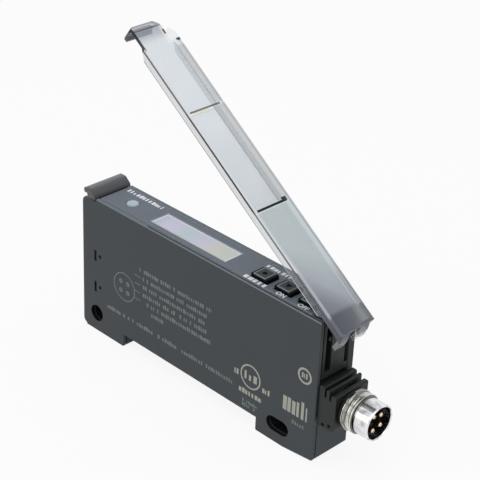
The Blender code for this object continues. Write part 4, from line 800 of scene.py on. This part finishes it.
def makeWindowFinish():
    # The dark display is painted with a reflection of the pale room in soft bands, inside a lighter border.
    look = windowLook
    finish, tree, shader = newFinish(look["name"])
    low, high = inMillimetres(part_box("display_window"))
    across, depth = partCoordinates(tree)[:2]
    start, end = low[0], high[0]
    share = mathNode(tree, "DIVIDE", minus(tree, across, start), end - start)
    wave = minus(tree, noiseNode(tree, look["waveScale"], objectPlace(tree)), 0.5)
    bands = rampNode(tree, plus(tree, share, times(tree, wave, look["waveReach"])), look["bands"])
    inset = look["borderWidth"]
    border = anyOf(tree, beyond(tree, depth, high[1] - inset), beyond(tree, across, end - inset),
                   under(tree, across, start + inset))
    feedAll(tree, shader, {"Base Color": mixColours(tree, border, bands, look["border"]),
                           "Roughness": look["roughness"]})
    return finish


lensLook = {"name": "indicatorLens", "colour": linear(178, 196, 206), "rim": linear(150, 165, 178), "roughness": 0.22,
            "rimRadius": 1.25, "rimLine": 0.3, "rimShare": 0.6, "cloudScale": 100000.0, "cloudShare": 0.3}


def makeLensFinish():
    # A cloudy pale lens with a darker rim.
    look = lensLook
    finish, tree, shader = newFinish(look["name"])
    low, high = inMillimetres(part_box("indicator_lens"))
    across, depth = partCoordinates(tree)[:2]
    rim = inkCircle(tree, across, depth, ((low[0] + high[0]) / 2, (low[1] + high[1]) / 2, look["rimRadius"],
                                          look["rimLine"]))
    cloud = noiseNode(tree, look["cloudScale"], objectPlace(tree))
    colour = paintOver(tree, look["colour"], (times(tree, cloud, look["cloudShare"]), look["rim"]),
                       (times(tree, rim, look["rimShare"]), look["rim"]))
    feedAll(tree, shader, {"Base Color": colour, "Roughness": look["roughness"]})
    return finish


for name, makeFinish in (("case_shell", makeCaseFinish), ("case_side_plate", makeSideFinish),
                         ("control_panel", makePanelFinish), ("display_window", makeWindowFinish),
                         ("indicator_lens", makeLensFinish), ("dust_cover", makeCoverFinish),
                         ("lock_lever", makeLeverFinish), ("connector_shell", makePlugFinish)):
    dress([name], makeFinish())
for look, names in (("pale", ["display_module", "status_led"]), ("ends", ["hinge_block", "connector_block"]),
                    ("hook", ["rail_hook"]), ("optics", ["optical_block"]), ("seal", ["sealing_ring"]),
                    ("insert", ["connector_insert"]), ("chips", ["processor_chip", "driver_chip"]),
                    ("board", ["panel_board", "main_board"]), ("emitter", ["emitter_led"]),
                    ("diode", ["receiver_diode"])):
    dress(names, mouldedFinish(plasticLooks[look])[0])
for name in ("mode_key", "on_key", "off_key"):
    dress([name], makeKeyFinish(name))
for name in ("contact_pin_1", "contact_pin_2", "contact_pin_3", "contact_pin_4"):
    dress([name], makePinFinish(name))
for look, names in (("steel", ["hinge_pin", "lever_pin", "rail_spring", "clamp_spring"]),
                    ("tin", ["receiver_shield", "capacitor", "key_switch_1", "key_switch_2", "key_switch_3"]),
                    ("bronze", ["fibre_clamp"])):
    dress(names, metalFinish(metalLooks[look]))
print("finishes set")


# Switch lettering

letteringLook = {"words": (("on_label", "ON", 22.3), ("off_label", "OFF", 27.9)), "nearY": -3.62, "size": 1.42,
                 "height": 0.03, "swell": 0.045, "colour": linear(244, 247, 250), "grainDepth": 0.02}


def makeLettering():
    look = letteringLook
    ink = mouldedFinish(dict(plasticLooks["pale"], name="letteringInk", colour=look["colour"],
                             grainDepth=look["grainDepth"]))[0]
    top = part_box("control_panel")[1][2]
    for name, word, middle in look["words"]:
        bpy.ops.object.select_all(action="DESELECT")
        bpy.ops.object.text_add(location=(middle * mm, look["nearY"] * mm, top))
        label = bpy.context.active_object
        label.data.body = word
        label.data.size = look["size"] * mm
        label.data.align_x = "CENTER"
        label.data.extrude = look["height"] * mm / 2
        label.data.offset = look["swell"] * mm
        bpy.ops.object.convert(target="MESH")
        label = bpy.context.active_object
        label.name = name
        label.location.z += look["height"] * mm / 2
        bpy.ops.object.transform_apply(location=True, rotation=True, scale=True)
        label.data.materials.clear()
        label.data.materials.append(ink)
        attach(label, "amplifier")


makeLettering()
print("lettering made")


# Seam rim, which closes the gap between the side plate and the shell behind the visible groove

rimLook = {"name": "seam_rim", "depth": (-4.04, -3.76),
           # lowest x, lowest z, highest x and highest z of each bar
           "bars": ((-31.6, -1.8, -31.1, 21.2), (-31.6, -2.3, -19.8, -1.8), (-20.3, -1.8, -19.8, 0.6),
                    (-20.3, 0.6, 20.3, 1.1), (19.8, -1.2, 20.3, 0.6), (19.8, -1.7, 33.3, -1.2),
                    (32.8, -1.2, 33.3, 6.3), (32.8, 15.3, 33.3, 27.0), (-26.8, 27.0, 33.3, 27.5))}


def makeSeamRim():
    near, far = rimLook["depth"]
    bars = []
    for left, bottom, right, top in rimLook["bars"]:
        bpy.ops.mesh.primitive_cube_add(
            size=mm, location=((left + right) / 2 * mm, (near + far) / 2 * mm, (bottom + top) / 2 * mm))
        bar = bpy.context.active_object
        bar.scale = (right - left, far - near, top - bottom)
        bars.append(bar)
    bpy.ops.object.select_all(action="DESELECT")
    for bar in bars:
        bar.select_set(True)
    bpy.context.view_layer.objects.active = bars[0]
    bpy.ops.object.transform_apply(location=True, rotation=True, scale=True)
    bpy.ops.object.join()
    rim = bpy.context.active_object
    rim.name = rimLook["name"]
    rim.data.materials.append(parts["rail_hook"].data.materials[0])
    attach(rim, "amplifier")


makeSeamRim()
print("seam rim made")


# Rail spring, as a copy of the frame's coil

springLook = {"name": "rail_coil", "fixedEnd": -30.5, "travel": 1.5}


def makeRailSpring():
    coil = bpy.data.objects.new(springLook["name"], parts["rail_spring"].data.copy())
    bpy.context.scene.collection.objects.link(coil)
    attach(coil, "amplifier")
    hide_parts("rail_spring")
    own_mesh(coil)


makeRailSpring()
print("rail spring made")


# Stage, light and camera

stageLook = {"floor": (0.9, 0.9, 0.9, 1), "roughness": 0.9, "gloss": 0.1, "gap": 0.02, "size": 1.6, "glow": 0.89,
             "worldLight": 0.62}
lampLooks = (
    {"name": "topLamp", "place": (0.05, -0.12, 0.42), "aim": (0, 0, 0.02), "size": 0.34, "power": 0.42},
    {"name": "sideLamp", "place": (-0.18, -0.42, 0.2), "aim": (0, 0, 0.02), "size": 0.34, "power": 0.3},
    {"name": "endLamp", "place": (0.42, -0.06, 0.2), "aim": (0.02, 0, 0.02), "size": 0.26, "power": 0.05},
)
cameraLook = {"place": (0.18251, -0.17984, 0.17302), "right": (0.70221729, 0.71087816, 0.0392827),
              "up": (-0.37278303, 0.32011291, 0.87095381), "lens": 115.41, "sensor": 36.0, "clip": (0.01, 5.0)}


def seenDirectly(tree):
    # 1 for rays from the camera, and through mirrors and clear plastic; 0 for scattered light.
    rays = addNode(tree, "ShaderNodeLightPath").outputs
    seen = plus(tree, rays["Is Camera Ray"], rays["Is Glossy Ray"], clamp=True)
    return plus(tree, seen, rays["Is Transmission Ray"], clamp=True)


def makeStage():
    bpy.ops.object.select_all(action="DESELECT")
    bpy.ops.mesh.primitive_plane_add(size=stageLook["size"], location=(0, 0, cadBounds[0][2] - stageLook["gap"] * mm))
    floor = bpy.context.active_object
    floor.name = "floor"
    finish, tree, shader = newFinish("floorPaper")
    feedAll(tree, shader, {"Base Color": stageLook["floor"], "Roughness": stageLook["roughness"],
                           "Specular IOR Level": stageLook["gloss"]})
    glow = addNode(tree, "ShaderNodeEmission", {"Strength": 1.0})
    mix = addNode(tree, "ShaderNodeMixShader")
    share = times(tree, seenDirectly(tree), stageLook["glow"])
    for socket, value in zip(mix.inputs, (share, shader.outputs[0], glow.outputs[0])):
        feed(tree, socket, value)
    tree.links.new(mix.outputs[0], tree.nodes["Material Output"].inputs["Surface"])
    floor.data.materials.append(finish)


def makeWorld():
    world = bpy.data.worlds.new("studio")
    bpy.context.scene.world = world
    world.use_nodes = True
    tree = world.node_tree
    strength = spread(tree, seenDirectly(tree), stageLook["worldLight"], 1.0 - stageLook["worldLight"])
    feedAll(tree, tree.nodes["Background"], {"Color": (1, 1, 1, 1), "Strength": strength})


def makeLamps():
    for look in lampLooks:
        light = bpy.data.lights.new(look["name"], "AREA")
        light.shape = "DISK"
        light.size = look["size"]
        light.energy = look["power"]
        lamp = bpy.data.objects.new(look["name"], light)
        bpy.context.scene.collection.objects.link(lamp)
        direction = Vector(look["aim"]) - Vector(look["place"])
        lamp.location = look["place"]
        lamp.rotation_euler = direction.to_track_quat("-Z", "Y").to_euler()


def makeCamera():
    view = bpy.data.cameras.new("camera")
    view.lens = cameraLook["lens"]
    view.sensor_width = cameraLook["sensor"]
    view.clip_start, view.clip_end = cameraLook["clip"]
    camera = bpy.data.objects.new("camera", view)
    bpy.context.scene.collection.objects.link(camera)
    right = Vector(cameraLook["right"]).normalized()
    up = Vector(cameraLook["up"])
    back = right.cross(up).normalized()
    up = back.cross(right)
    turn = Matrix((right, up, back)).transposed().to_4x4()
    camera.matrix_world = Matrix.Translation(cameraLook["place"]) @ turn
    bpy.context.scene.camera = camera


makeStage()
makeWorld()
makeLamps()
makeCamera()
bpy.context.scene.view_settings.view_transform = "Standard"
print("stage ready")
